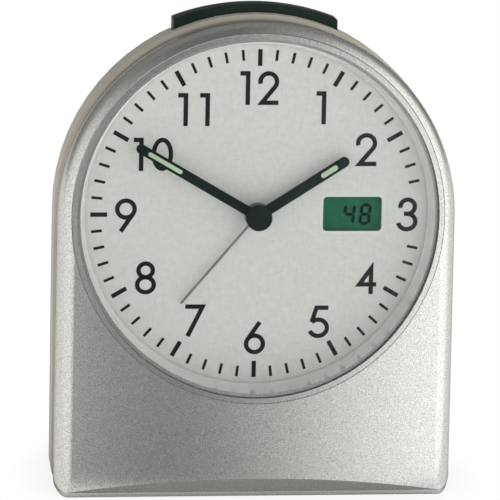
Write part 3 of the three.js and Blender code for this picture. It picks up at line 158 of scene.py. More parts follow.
# Snooze bar
SNOOZE_HALF = 20.75  # half of its length
SNOOZE_TOP_RADIUS = 58.0
SNOOZE_TOP = 51.6
SNOOZE_HEIGHT = 5.0
SNOOZE_FRONT = -10.6
SNOOZE_DEPTH = 6.5
SNOOZE_ROUND = 0.4
STEM_HALF_WIDTH = 2.5
STEM_HALF_DEPTH = 1.2
STEM_ROUND = 0.4
STEM_CHAMFER = 0.3
STEM_TIP = 0.9  # share of its section that is left at the tip
STEM_ROOT = 1.0  # the stem's top inside the bar

# Grid steps
ARCH_STEPS = 120
FLANK_STEPS = 28
CORNER_STEPS = 12
BASE_STEPS = 60
PANEL_ROWS = 14
PANEL_LAST_ROW = 0.99  # one more row close to the rounded edge keeps its shading off the panel
FILLET_ROWS = 12
ROUND_STEPS = 64
SECTION_STEPS = 6
LENS_ROWS = 24
RING_ROWS = 16
SNOOZE_STEPS = 49
HAND_END_STEPS = 17
HUB_STEPS = 25
LUME_END_STEPS = 13
CAP_ROUND_STEPS = 8
BOW_STEPS = 40  # open bows of the numerals
LOOP_STEPS = 61  # closed loops of the six, eight and nine
OVAL_STEPS = 73  # the nought

# Shading
SHARP_DEGREES = 40  # edges sharper than this keep their crease
SHELL_SHARP_DEGREES = 30  # the same on the front shell and the lens
MERGE_DISTANCE = 0.002  # corners of a CAD mesh closer than this become one


# Frames and formulas

def to_shared(points):
    """Dial millimetres to shared metres: the dial's centre plus each coordinate along its own dial axis."""
    return DIAL_CENTRE + np.asarray(points, float) @ DIAL_AXES * MM


def node_points(node):
    """Points of a CAD node's mesh in the shared frame, in metres."""
    mesh = frame["nodes"][node].data
    flat = np.empty(3 * len(mesh.vertices))
    mesh.vertices.foreach_get("co", flat)
    return flat.reshape(-1, 3)


def dial_box(node):
    """Lowest and highest corner of a CAD node in the dial's frame, in millimetres."""
    local = (node_points(node) - DIAL_CENTRE) @ DIAL_AXES.T / MM
    return local.min(0), local.max(0)


def panel(x):
    """Height of the panel: its rise less the sag of a circle of the panel's radius."""
    return PANEL_RISE - (PANEL_RADIUS - np.sqrt(PANEL_RADIUS ** 2 - np.square(x)))


def table_line(z):
    """Where the table lies, as a height on the dial plane at depth z of the leaning clock."""
    return -(DIAL_HEIGHT + z * math.sin(LEAN)) / math.cos(LEAN)


def edge_drop(inset):
    """Fall of the rounded edge below the panel at a distance in from the outline: a quarter circle."""
    reach = np.clip(EDGE_FILLET - inset, 0, EDGE_FILLET)
    return EDGE_FILLET - np.sqrt(EDGE_FILLET ** 2 - reach ** 2)


def arc(centre, radii, start, stop, steps):
    """Points on an ellipse about a centre from one angle to another, in degrees."""
    angle = np.radians(np.linspace(start, stop, steps))
    return np.stack([centre[0] + radii[0] * np.cos(angle), centre[1] + radii[1] * np.sin(angle)], 1)


def rounded_loop(half_width, half_height, radius):
    """A rectangle with round corners, anticlockwise from its right side: four quarter circles in turn."""
    quarters = []
    for turn, (sx, sy) in enumerate(((1, 1), (-1, 1), (-1, -1), (1, -1))):
        centre = (sx * (half_width - radius), sy * (half_height - radius))
        quarters.append(arc(centre, (radius, radius), 90 * turn, 90 * turn + 90, SECTION_STEPS))
    return np.vstack(quarters)


def offset_path(path, distance, closed):
    """Moves a path sideways: each corner goes along the sum of its two unit normals, divided by one plus
    their product."""
    if closed:
        ahead = np.roll(path, -1, 0) - path
    else:
        ahead = np.diff(path, axis=0)
        ahead = np.vstack([ahead, ahead[-1:]])
    ahead = ahead / np.linalg.norm(ahead, axis=1, keepdims=True)
    normal = np.stack([-ahead[:, 1], ahead[:, 0]], 1)
    before = np.roll(normal, 1, 0)
    if not closed:
        before[0] = normal[0]
    share = 1 + np.sum(normal * before, 1, keepdims=True)
    return path + distance * (normal + before) / share


def turned_clockwise(points, degrees):
    """Points turned about the dial's centre, clockwise as the viewer sees it."""
    angle = -math.radians(degrees)
    cosine = math.cos(angle)
    sine = math.sin(angle)
    turn = np.array([[cosine, sine, 0], [-sine, cosine, 0], [0, 0, 1]])
    return points @ turn


# Meshes from grids

def grid_faces(rows, columns, wrap_rows):
    """Four-sided faces between neighbouring points of a grid whose columns close on themselves."""
    row = np.arange(rows if wrap_rows else rows - 1)[:, None]
    column = np.arange(columns)[None, :]
    next_row = (row + 1) % rows
    next_column = (column + 1) % columns
    corners = (row * columns + column, row * columns + next_column,
               next_row * columns + next_column, next_row * columns + column)
    return np.stack([corner.ravel() for corner in corners], 1).tolist()


def closed_grid(grid, wrap_rows):
    """One closed body from a grid of loops, capped at both ends or joined end to end, with faces out.
    The sum of each face's triple products tells whether the faces point in, and then they are reversed."""
    rows, columns = grid.shape[:2]
    points = grid.reshape(-1, 3)
    faces = grid_faces(rows, columns, wrap_rows)
    quads = points[np.array(faces)]
    volume = np.sum(np.cross(quads[:, 1] - quads[:, 0], quads[:, 2] - quads[:, 0]) * quads[:, 0])
    volume += np.sum(np.cross(quads[:, 2] - quads[:, 0], quads[:, 3] - quads[:, 0]) * quads[:, 0])
    if not wrap_rows:
        first = list(range(columns))[::-1]
        last = list(range((rows - 1) * columns, rows * columns))
        faces += [first, last]
        for cap in (first, last):
            ends = points[cap]
            fan = np.cross(ends[1:-1] - ends[0], ends[2:] - ends[0])
            volume += np.sum(fan * ends[0])
    if volume < 0:
        faces = [face[::-1] for face in faces]
    return points, faces


def joined(bodies):
    """Several closed bodies as one list of points and one of faces."""
    points = []
    faces = []
    start = 0
    for body_points, body_faces in bodies:
        points.append(body_points)
        faces += [[start + corner for corner in face] for face in body_faces]
        start += len(body_points)
    return np.vstack(points), faces


def stacked(rows):
    """A grid of flat loops, each at its own height."""
    return np.stack([np.column_stack([loop, np.full(len(loop), z)]) for loop, z in rows])


def extruded(outline, z0, z1):
    """A flat plate: a closed outline carried from one height to another."""
    return closed_grid(stacked([(outline, z0), (outline, z1)]), False)


def ribbon(path, half, z0, z1, closed=False):
    """A flat printed stroke: a four-cornered section of the stroke's width carried along a path."""
    left = offset_path(path, half, closed)
    right = offset_path(path, -half, closed)
    low = np.full((len(path), 1), z0)
    high = np.full((len(path), 1), z1)
    corners = ((left, low), (left, high), (right, high), (right, low))
    return closed_grid(np.stack([np.hstack(corner) for corner in corners], 1), closed)


def lathe(profile):
    """A profile of radius and height turned about the dial's axis; its two ends are closed by flat caps."""
    profile = np.asarray(profile, float)
    angle = np.linspace(0, 2 * math.pi, ROUND_STEPS, endpoint=False)
    radius = profile[:, :1]
    grid = np.stack([radius * np.cos(angle), radius * np.sin(angle), profile[:, 1:] + 0 * angle], 2)
    return closed_grid(grid, False)


def hung(name, points, faces, material, body, sharp_degrees):
    """Puts points and faces of the shared frame into a smooth mesh and hangs it on a CAD body."""
    mesh = bpy.data.meshes.new(name)
    mesh.from_pydata(points.tolist(), [], faces)
    mesh.shade_smooth()
    mesh.set_sharp_from_angle(angle=math.radians(sharp_degrees))
    mesh.materials.append(material)
    piece = bpy.data.objects.new(name, mesh)
    bpy.context.scene.collection.objects.link(piece)
    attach(piece, body)
    return piece


def make_piece(name, surface, material, body, nodes=(), sharp_degrees=SHARP_DEGREES):
    """A surface of the dial's frame as a piece on a CAD body, in place of the CAD nodes that it shows."""
    points, faces = surface
    piece = hung(name, to_shared(points), faces, material, body, sharp_degrees)
    if nodes:
        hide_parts(*nodes)


def refined_copy(name, node, material, body):
    """A merged copy of a CAD node with rounded shading across its curved faces."""
    points = node_points(node)
    source = frame["nodes"][node].data
    corners = np.empty(len(source.loops), int)
    source.loops.foreach_get("vertex_index", corners)
    keys = np.round(points / (MERGE_DISTANCE * MM)).astype(np.int64)
    _, first, merged = np.unique(keys, axis=0, return_index=True, return_inverse=True)
    triangles = merged.reshape(-1)[corners].reshape(-1, 3)
    distinct = (triangles[:, 0] != triangles[:, 1]) & (triangles[:, 1] != triangles[:, 2])
    distinct &= triangles[:, 2] != triangles[:, 0]
    piece = hung(name, points[first], triangles[distinct].tolist(), material, body, SHARP_DEGREES)
    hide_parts(node)
    weights = piece.modifiers.new("flat faces keep their shading", "WEIGHTED_NORMAL")
    weights.keep_sharp = True


# Materials

class Nodes:
    """Short ways to add and link the nodes of one material or world."""

    def __init__(self, owner):
        owner.use_nodes = True
        self.material = owner
        self.tree = owner.node_tree
        self.shader = self.tree.nodes.get("Principled BSDF")
        self.output = self.tree.nodes.get("Material Output")
        self.place = self.add("ShaderNodeTexCoord").outputs["Object"]

    def add(self, kind, **settings):
        node = self.tree.nodes.new(kind)
        for key, value in settings.items():
            setattr(node, key, value)
        return node

    def link(self, source, target):
        self.tree.links.new(source, target)

    def feed(self, value, target):
        """Links an output to an input, or writes a constant into it."""
        if isinstance(value, bpy.types.NodeSocket):
            self.link(value, target)
        else:
            target.default_value = value

    def math(self, operation, first, second):
        node = self.add("ShaderNodeMath", operation=operation)
        self.feed(first, node.inputs[0])
        self.feed(second, node.inputs[1])
        return node.outputs["Value"]

    def mixed(self, factor, first, second):
        """Two shaders mixed by a factor."""
        node = self.add("ShaderNodeMixShader")
        self.link(factor, node.inputs["Fac"])
        self.link(first, node.inputs[1])
        self.link(second, node.inputs[2])
        return node.outputs["Shader"]

    def mirrored(self, rays):
        """One for the rays that gloss or glass sends on."""
        return self.math("MAXIMUM", rays.outputs["Is Glossy Ray"], rays.outputs["Is Transmission Ray"])

    def background(self, colour):
        node = self.add("ShaderNodeBackground")
        self.feed(colour, node.inputs["Color"])
        return node.outputs["Background"]

    def noise(self, scale, detail=2.0, stretch=(1, 1, 1)):
        """Noise over Object coordinates, with a scale per metre and a stretch for each axis."""
        mapping = self.add("ShaderNodeMapping")
        mapping.inputs["Scale"].default_value = stretch
        self.link(self.place, mapping.inputs["Vector"])
        texture = self.add("ShaderNodeTexNoise")
        texture.inputs["Scale"].default_value = scale
        texture.inputs["Detail"].default_value = detail
        self.link(mapping.outputs["Vector"], texture.inputs["Vector"])
        return texture.outputs["Fac"]

    def between(self, factor, low, high, start=0.3, stop=0.7):
        """A number that runs from low to high as a factor runs from start to stop."""
        node = self.add("ShaderNodeMapRange")
        node.inputs["From Min"].default_value = start
        node.inputs["From Max"].default_value = stop
        node.inputs["To Min"].default_value = low
        node.inputs["To Max"].default_value = high
        self.link(factor, node.inputs["Value"])
        return node.outputs["Result"]

    def ramp(self, factor, stops):
        """A colour that runs through stops of (position, colour) as a factor runs from nought to one."""
        node = self.add("ShaderNodeValToRGB")
        elements = node.color_ramp.elements
        for position, colour in stops[1:-1]:
            elements.new(position).color = (*colour, 1)
        for element, (position, colour) in ((elements[0], stops[0]), (elements[-1], stops[-1])):
            element.position = position
            element.color = (*colour, 1)
        self.link(factor, node.inputs["Fac"])
        return node.outputs["Color"]

    def tint(self, factor, dark, light, start=0.3, stop=0.7):
        """A colour that runs from dark to light as a factor runs from start to stop."""
        return self.ramp(factor, [(start, dark), (stop, light)])

    def set(self, **values):
        """Constant values on the shader's own sockets."""
        for key, value in values.items():
            self.shader.inputs[key.replace("_", " ")].default_value = value

    def colour(self, source):
        self.link(source, self.shader.inputs["Base Color"])

    def roughness(self, source):
        self.link(source, self.shader.inputs["Roughness"])

    def bump(self, height, strength, distance):
        """A fine relief from a height, in metres."""
        node = self.add("ShaderNodeBump")
        node.inputs["Strength"].default_value = strength
        node.inputs["Distance"].default_value = distance
        self.link(height, node.inputs["Height"])
        self.link(node.outputs["Normal"], self.shader.inputs["Normal"])


MOULDED_DRIFT = 0.06  # how far the roughness of plastic drifts to either side
BRUSHED_DRIFT = 0.07  # and that of metal
JACKET_SPLIT = 0.008  # metres right of the middle, where the colour of the cell's film changes
JACKET_BLEND = 0.0001
FINE_GRAIN = dict(grain=2600, relief=0.00001)


def silver_paint(name, dark, light):
    """Metallic paint: fine flakes, faint cloudiness, and an orange-peel relief."""
    nodes = Nodes(bpy.data.materials.new(name))
    flakes = nodes.noise(3000, detail=3)
    nodes.colour(nodes.tint(flakes, dark, light))
    nodes.roughness(nodes.between(nodes.noise(420), 0.22, 0.24))
    nodes.set(Metallic=0.85, Specular_Tint=(0.55, 0.55, 0.55, 1))
    nodes.bump(flakes, strength=0.25, distance=0.00002)
    return nodes.material


def moulded(name, dark, light, rough, grain=1800, relief=0.00003, sheen=0.5):
    """Moulded plastic: a fine spark-eroded grain and a slight drift of tone."""
    nodes = Nodes(bpy.data.materials.new(name))
    texture = nodes.noise(grain, detail=3)
    nodes.colour(nodes.tint(nodes.noise(90), dark, light))
    nodes.roughness(nodes.between(texture, rough - MOULDED_DRIFT, rough + MOULDED_DRIFT))
    nodes.bump(texture, strength=0.35, distance=relief)
    nodes.set(Specular_IOR_Level=sheen)
    return nodes.material


def metal(name, dark, light, rough, stretch=(1, 12, 1)):
    """Bright metal: brushed lines along one axis, in tone, gloss and relief."""
    nodes = Nodes(bpy.data.materials.new(name))
    lines = nodes.noise(900, detail=3, stretch=stretch)
    nodes.colour(nodes.tint(lines, dark, light))
    nodes.roughness(nodes.between(lines, rough - BRUSHED_DRIFT, rough + BRUSHED_DRIFT))
    nodes.set(Metallic=1.0)
    nodes.bump(lines, strength=0.2, distance=0.00001)
    return nodes.material


def clear_acrylic():
    """Clear polished acrylic that lets the room's light through to the dial."""
    nodes = Nodes(bpy.data.materials.new("clear_acrylic"))
    nodes.set(Base_Color=(0.97, 0.985, 0.98, 1), Transmission_Weight=1.0, IOR=1.2)
    nodes.roughness(nodes.between(nodes.noise(60), 0.0, 0.015))
    clear = nodes.add("ShaderNodeBsdfTransparent")
    rays = nodes.add("ShaderNodeLightPath")
    shown = nodes.mixed(rays.outputs["Is Shadow Ray"], nodes.shader.outputs["BSDF"], clear.outputs["BSDF"])
    nodes.link(shown, nodes.output.inputs["Surface"])
    return nodes.material


def ring_gloss():
    """Silvered plastic, polished, with slight moulding waves."""
    nodes = Nodes(bpy.data.materials.new("ring_gloss"))
    waves = nodes.noise(140, detail=1)
    nodes.colour(nodes.tint(waves, (0.79, 0.80, 0.77), (0.86, 0.87, 0.84)))
    nodes.roughness(nodes.between(waves, 0.08, 0.14))
    nodes.set(Metallic=0.3)
    nodes.bump(waves, strength=0.1, distance=0.00005)
    return nodes.material


def dial_print():
    """Pale silver print: a fine woven grain, two crossed sets of short threads."""
    nodes = Nodes(bpy.data.materials.new("dial_plate"))
    across = nodes.noise(1500, stretch=(0.35, 1, 1))
    along = nodes.noise(1500, stretch=(1, 0.35, 0.35))
    weave = nodes.math("MULTIPLY", nodes.math("ADD", across, along), 0.5)
    nodes.colour(nodes.tint(weave, (0.705, 0.695, 0.66), (0.815, 0.805, 0.77)))
    nodes.roughness(nodes.between(weave, 0.48, 0.58))
    nodes.bump(weave, strength=0.15, distance=0.00002)
    return nodes.material


def display_glass():
    """Green liquid crystal glass, a little mottled, with a satin front."""
    nodes = Nodes(bpy.data.materials.new("display_glass"))
    mottle = nodes.noise(700)
    nodes.colour(nodes.tint(mottle, (0.013, 0.120, 0.060), (0.020, 0.160, 0.085)))
    nodes.roughness(nodes.between(mottle, 0.16, 0.24))
    nodes.set(Specular_IOR_Level=0.1)
    return nodes.material


def battery_jacket():
    """Printed film round a cell: dark, with a copper-coloured third at the positive end."""
    nodes = Nodes(bpy.data.materials.new("battery_jacket"))
    parts = nodes.add("ShaderNodeSeparateXYZ")
    nodes.link(nodes.place, parts.inputs["Vector"])
    ends = (JACKET_SPLIT - JACKET_BLEND, JACKET_SPLIT + JACKET_BLEND)
    nodes.colour(nodes.tint(parts.outputs["X"], (0.05, 0.055, 0.06), (0.55, 0.33, 0.18), *ends))
    nodes.roughness(nodes.between(nodes.noise(300), 0.22, 0.30))
    nodes.set(Metallic=0.6)
    return nodes.material


MATERIALS = {
    "silver_paint": silver_paint("silver_paint", (0.50, 0.495, 0.47), (0.83, 0.825, 0.79)),
    "clear_acrylic": clear_acrylic(),
    "ring_gloss": ring_gloss(),
    "dial_plate": dial_print(),
    "black_hand": moulded("black_hand", (0.006, 0.014, 0.013), (0.012, 0.022, 0.021), 0.45,
                          grain=2400, relief=0.00001, sheen=0.1),
    "bright_metal": metal("bright_metal", (0.52, 0.52, 0.51), (0.70, 0.70, 0.69), 0.30),
    "lume": moulded("lume", (0.50, 0.62, 0.40), (0.60, 0.72, 0.50), 0.75, grain=2600),
    "display_glass": display_glass(),
    "white_plastic": moulded("white_plastic", (0.74, 0.74, 0.70), (0.82, 0.82, 0.78), 0.45),
    "black_plastic": moulded("black_plastic", (0.018, 0.018, 0.018), (0.028, 0.028, 0.028), 0.5),
    "board": moulded("board", (0.016, 0.075, 0.030), (0.024, 0.10, 0.042), 0.38, grain=900),
    "copper": metal("copper", (0.55, 0.25, 0.11), (0.72, 0.36, 0.17), 0.32, (14, 1, 1)),
    "ferrite": moulded("ferrite", (0.020, 0.020, 0.022), (0.034, 0.034, 0.036), 0.6,
                       grain=1300, relief=0.00005),
    "teal_plastic": moulded("teal_plastic", (0.015, 0.031, 0.024), (0.023, 0.044, 0.035), 0.5, sheen=0.15),
    "brass": metal("brass", (0.52, 0.38, 0.14), (0.68, 0.51, 0.22), 0.3, (1, 1, 10)),
    "battery_jacket": battery_jacket(),
}
HAND_GREY = moulded("hand_grey", (0.20, 0.20, 0.195), (0.26, 0.26, 0.25), 0.4, **FINE_GRAIN)
BORDER_PAINT = silver_paint("border_paint", (0.46, 0.455, 0.43), (0.72, 0.715, 0.69))
# Darker copy of the silver paint for the bezel: painted shade where the gap between ring and lens lies in shade
BEZEL_PAINTED_SHADE = silver_paint("bezel_painted_shade", (0.43, 0.425, 0.41), (0.55, 0.545, 0.53))
REAR_PLASTIC = moulded("rear_plastic", (0.77, 0.71, 0.61), (0.83, 0.77, 0.66), 0.55)
PRINT_INK = moulded("dial_ink", (0.011, 0.016, 0.016), (0.017, 0.022, 0.021), 0.55, sheen=0.1, **FINE_GRAIN)
FIGURE_INK = moulded("display_figures", (0.002, 0.008, 0.006), (0.004, 0.012, 0.009), 0.4,
                     sheen=0.05, **FINE_GRAIN)
BORDER_INK = moulded("window_edge", (0.76, 0.77, 0.74), (0.82, 0.83, 0.80), 0.5, **FINE_GRAIN)


# Front case

def outline_columns(inset):
    """The arched outline, inset, anticlockwise from the right end of the arch: a half circle, the left flank
    flaring down, and its mirror on the right. The flanks stop where the lower corners begin."""
    radius = ARCH_RADIUS - inset
    angle = np.linspace(0, math.pi, ARCH_STEPS + 1)
    arch = np.stack([radius * np.cos(angle), ARCH_Y + radius * np.sin(angle)], 1)
    foot = table_line(0)
    y = np.linspace(ARCH_Y, foot + CORNER_RADIUS, FLANK_STEPS + 1)[1:]
    side = radius * (1 + SIDE_FLARE / ARCH_RADIUS * (y - ARCH_Y) / (foot - ARCH_Y))
    return arch, np.stack([-side, y], 1)


def case_row(inset, height, foot_y, foot_z):
    """One loop of the front case. Arch and flanks lie at an inset and a height above the dial plane. The base
    runs at foot_y and foot_z. Each round corner goes from one to the other as the square of a cosine."""
    arch, flank = outline_columns(inset)
    sides = np.column_stack([flank, height(flank[:, 0])])
    turn = np.linspace(0, math.pi / 2, CORNER_STEPS + 2)[1:-1]
    share = np.cos(turn) ** 2
    start = flank[-1]
    half = min(ARCH_RADIUS + SIDE_FLARE - CORNER_RADIUS, -start[0])
    reach_x = -half - start[0]
    base_x = np.linspace(-half, half, BASE_STEPS + 1)
    base = np.column_stack([base_x, foot_y(base_x), foot_z(base_x)])
    corner_x = -half - reach_x * np.cos(turn)
    corner_y = base[0, 1] + (start[1] - base[0, 1]) * (1 - np.sin(turn))
    corner_z = share * height(corner_x) + (1 - share) * foot_z(corner_x)
    corner = np.column_stack([corner_x, corner_y, corner_z])
    mirror = np.array([-1, 1, 1])
    arch_loop = np.column_stack([arch, height(arch[:, 0])])
    right = np.vstack([corner[::-1] * mirror, sides[::-1] * mirror])
    return np.vstack([arch_loop, sides, corner, base, right])


def undercut_y(z):
    """Height of the sloping face under the panel at depth z."""
    return table_line(LIP_FRONT) + LIP_HEIGHT + (z - LIP_FRONT) * UNDERCUT_SLOPE


def panel_edge_rows():
    """Rows from the start of the rounded edge to the outline. On the sides they follow a quarter circle.
    Below, they run down the sloping undercut from the panel to the foot lip in as many steps."""
    rows = []
    for step in np.linspace(0, 1, FILLET_ROWS):
        angle = step * math.pi / 2
        inset = EDGE_FILLET * (1 - math.sin(angle))
        drop = EDGE_FILLET * (1 - math.cos(angle))

        def height(x, drop=drop):
            return panel(x) - drop

        def slope_z(x, step=step):
            return panel(x) + step * (LIP_FRONT - panel(x))

        def slope_y(x, step=step):
            return undercut_y(slope_z(x, step))

        rows.append(case_row(inset, height, slope_y, slope_z))
    return rows


def flank_rows():
    """Rows from the rounded edge back to the parting line, with the case's draft, and in to the wall's
    thickness. Below, they go down the front of the foot lip and back along the base. Each row has its share
    of the draft, its share of the way back, the depth of its base and how far in it lies."""
    plan = [
        (0.02, 0.05, LIP_FRONT, 0.0),
        (0.3, 0.35, LIP_FRONT - LIP_STEP, 0.0),
        (0.9, 0.97, PARTING + PARTING_ROUND, 0.0),
        (1.0, 1.0, PARTING, PARTING_ROUND),
        (1.0, 1.0, PARTING, CASE_WALL),
        (1.0, 1.0, BOWL_FLOOR_BACK, CASE_WALL),
    ]
    rows = []
    for draft_share, depth_share, base_z, wall in plan:
        def height(x, share=depth_share, z=base_z, wall=wall):
            top = panel(x) - EDGE_FILLET
            return top + share * (PARTING - top) if wall < CASE_WALL else np.full_like(x, z)

        def base_height(x, z=base_z, wall=wall):
            return np.full_like(x, table_line(z) + wall)

        def base_depth(x, z=base_z):
            return np.full_like(x, z)

        rows.append(case_row(DRAFT * draft_share + wall, height, base_height, base_depth))
    return rows


def front_case_surface():
    """The front case as one grid of loops: out from the hole in the bowl's floor, up the bowl, over the lens
    seat, across the panel, round the edge, back along the flanks to the parting line, in behind the floor."""
    edge_rows = panel_edge_rows()
    outline = edge_rows[0]
    direction = outline[:, :2] / np.linalg.norm(outline[:, :2], axis=1, keepdims=True)

    def circle(radius, height):
        ring = direction * radius
        return np.column_stack([ring, height(ring[:, 0], ring[:, 1])])

    def surface_height(x, y):
        inset = ARCH_RADIUS - np.hypot(x, y - ARCH_Y)
        return panel(x) - np.where(y > ARCH_Y, edge_drop(inset), edge_drop(ARCH_RADIUS - np.abs(x)))

    opening = circle(RECESS_RADIUS + RECESS_EDGE, surface_height)
    rows = [
        circle(BOWL_HOLE_RADIUS, lambda x, y: np.full_like(x, BOWL_FLOOR_BACK)),
        circle(BOWL_HOLE_RADIUS, lambda x, y: np.full_like(x, BOWL_FLOOR_FRONT)),
        circle(BOWL_RADIUS, lambda x, y: np.full_like(x, BOWL_FLOOR_FRONT)),
        circle(BOWL_RADIUS, lambda x, y: panel(x) - SEAT_DEPTH),
        circle(RECESS_RADIUS, lambda x, y: panel(x) - SEAT_DEPTH),
        circle(RECESS_RADIUS, lambda x, y: surface_height(x, y) - RECESS_EDGE),
        opening,
    ]
    edge_rows = keep_outside(edge_rows, RECESS_RADIUS + RECESS_EDGE + FILLET_MARGIN)
    first = edge_rows[0]
    for share in np.append(np.linspace(0, 1, PANEL_ROWS + 1)[1:-1], PANEL_LAST_ROW):
        middle = opening + share * (first - opening)
        span = np.linalg.norm(first[:, :2] - opening[:, :2], axis=1)
        flat = np.column_stack([middle[:, :2], panel(middle[:, 0])])
        rows.append(np.where((span > EDGE_FILLET)[:, None], flat, middle))
    rows += edge_rows + flank_rows()
    return closed_grid(np.stack(rows), True)


def keep_outside(edge_rows, clear_radius):
    """Where the rounded edge would start inside the lens opening, spreads its rows between the opening and
    the outline along the same quarter circle, by the inset that is left there."""
    rim = np.hypot(edge_rows[-1][:, 0], edge_rows[-1][:, 1]) - clear_radius
    narrow = rim < EDGE_FILLET
    start = np.arcsin(1 - np.clip(rim, 0, EDGE_FILLET) / EDGE_FILLET)
    outline = edge_rows[-1]
    unit = outline[:, :2] / np.linalg.norm(outline[:, :2], axis=1, keepdims=True)
    spread = []
    for step, row in zip(np.linspace(0, 1, FILLET_ROWS), edge_rows):
        angle = start + step * (math.pi / 2 - start)
        inset = EDGE_FILLET * (1 - np.sin(angle))
        place = outline[:, :2] - unit * inset[:, None]
        depth = panel(place[:, 0]) - EDGE_FILLET * (1 - np.cos(angle))
        spread.append(np.where(narrow[:, None], np.column_stack([place, depth]), row))
    return spread


# Lens, ring and snooze bar

def lens_surface():
    """A disc bent like the panel: rings out over the front, round a softened rim, and back under it."""
    radii = np.append(np.linspace(LENS_MIDDLE, LENS_RADIUS - LENS_EDGE, LENS_ROWS), LENS_RADIUS)
    lift = np.append(np.zeros(LENS_ROWS), -LENS_EDGE)
    radii = np.concatenate([radii, radii[::-1]])
    lift = np.concatenate([lift, -LENS_THICK - lift[::-1]])
    angle = np.linspace(0, 2 * math.pi, 2 * ROUND_STEPS, endpoint=False)
    x = radii[:, None] * np.cos(angle)
    y = radii[:, None] * np.sin(angle)
    return closed_grid(np.stack([x, y, panel(x) + lift[:, None]], 2), False)


def round_grid(profile):
    """A grid about the dial's axis: each row is a radius, a share of the way from the ring's foot up to the
    lens seat at that angle, and a lift added to it."""
    angle = np.linspace(0, 2 * math.pi, 2 * ROUND_STEPS, endpoint=False)
    radius, share, lift = (np.array(column)[:, None] for column in zip(*profile))
    x = radius * np.cos(angle)
    top = panel(x) - SEAT_DEPTH
    return np.stack([x, radius * np.sin(angle), RING_FOOT_Z + share * (top - RING_FOOT_Z) + lift], 2)


def ring_wall(share):
    """Radius of the ring's inner wall at a share of its height: it gets steeper upwards."""
    return RING_INNER + (RING_OUTER - RING_TOP - RING_INNER) * share ** RING_BEND


def ring_surface():
    """A ring with a bent inner wall, from its foot on the dial up to a narrow top that follows the lens."""
    profile = [(ring_wall(share), share, 0) for share in np.linspace(0, 1, RING_ROWS)]
    return closed_grid(round_grid(profile + [(RING_OUTER, 1, 0), (RING_OUTER, 0, 0)]), True)


def thin_ring(inner, outer, inner_height, outer_height):
    """A four-cornered section about the dial's axis, on the lens seat, as high as given at each edge."""
    return round_grid([(inner, 1, 0), (inner, 1, inner_height), (outer, 1, outer_height), (outer, 1, 0)])


def bezel_surface():
    """A thin bezel over the ring's top and the edge of the lens seat, rising outwards. Its darker paint is painted
    shade for the gap between ring and lens.
    """
    return closed_grid(thin_ring(RING_OUTER - RING_TOP, BORDER_INNER, BEZEL_LOW, BEZEL_HIGH), True)


def border_surface():
    """The silver border of the lens: a thin ring on its front."""
    ring = thin_ring(BORDER_INNER, BORDER_OUTER, BORDER_THICK, BORDER_THICK)
    return closed_grid(ring + np.array([0, 0, SEAT_DEPTH]), True)


def snooze_surface():
    """A rounded section carried along an arc: each point keeps its distance from the arc's centre. The
    section draws in at both ends by a quarter circle. A stem below it reaches the switch."""
    turn = np.linspace(0, math.pi / 2, SECTION_STEPS)
    end_x = SNOOZE_HALF - SNOOZE_ROUND * (1 - np.sin(turn))
    end_inset = SNOOZE_ROUND * (1 - np.cos(turn))
    middle = np.linspace(-SNOOZE_HALF + SNOOZE_ROUND, SNOOZE_HALF - SNOOZE_ROUND, SNOOZE_STEPS)[1:-1]
    x = np.concatenate([-end_x[::-1], middle, end_x])
    inset = np.concatenate([end_inset[::-1], 0 * middle, end_inset])
    half_depth = SNOOZE_DEPTH / 2
    half_height = SNOOZE_HEIGHT / 2
    loops = np.stack([rounded_loop(half_depth - i, half_height - i, SNOOZE_ROUND) for i in inset])
    pivot = SNOOZE_TOP - SNOOZE_TOP_RADIUS
    radius = SNOOZE_TOP_RADIUS - half_height + loops[:, :, 1]
    along = np.broadcast_to(x[:, None], radius.shape)
    height = pivot + np.sqrt(radius ** 2 - along ** 2)
    depth = SNOOZE_FRONT - half_depth + loops[:, :, 0]
    bar = closed_grid(np.stack([along, height, depth], 2), False)
    low = dial_box("snooze_bar")[0]
    switch_box = dial_box("snooze_switch")
    stem_z = (switch_box[0][2] + switch_box[1][2]) / 2
    loop = rounded_loop(STEM_HALF_WIDTH, STEM_HALF_DEPTH, STEM_ROUND)
    heights = [low[1], low[1] + STEM_CHAMFER, SNOOZE_TOP - SNOOZE_HEIGHT + STEM_ROOT]
    shares = [STEM_TIP, 1.0, 1.0]
    stem = np.stack([
        np.column_stack([share * loop[:, 0], np.full(len(loop), y), stem_z + share * loop[:, 1]])
        for y, share in zip(heights, shares)
    ])
    return joined([bar, closed_grid(stem, False)])


# Hands

def hand_surface(length, width, degrees, back, thick, hub, bore):
    """A straight bar with round ends and a round hub, bored for its tube. The outline is the outer of bar and
    hub along each direction from the axis. Loops run up the bore, across the front and down the side."""
    half = width / 2
    tip = arc((0, length - half), (half, half), 0, 180, HAND_END_STEPS)
    tail = arc((0, half - HAND_TAIL), (half, half), 180, 360, HAND_END_STEPS)
    meet = math.degrees(math.acos(half / hub))
    left = arc((0, 0), (hub, hub), 180 - meet, 180 + meet, HUB_STEPS)
    right = arc((0, 0), (hub, hub), -meet, meet, HUB_STEPS)
    outline = np.vstack([tip, left, tail if hub < HAND_TAIL else np.zeros((0, 2)), right])
    direction = outline / np.linalg.norm(outline, axis=1, keepdims=True)
    hole = direction * bore
    front = back + thick
    inner = offset_path(outline, HAND_BEVEL, True)
    rows = [(hole, back), (hole, front), (inner, front), (outline, front - HAND_BEVEL), (outline, back)]
    points, faces = closed_grid(stacked(rows), True)
    return turned_clockwise(points, degrees), faces


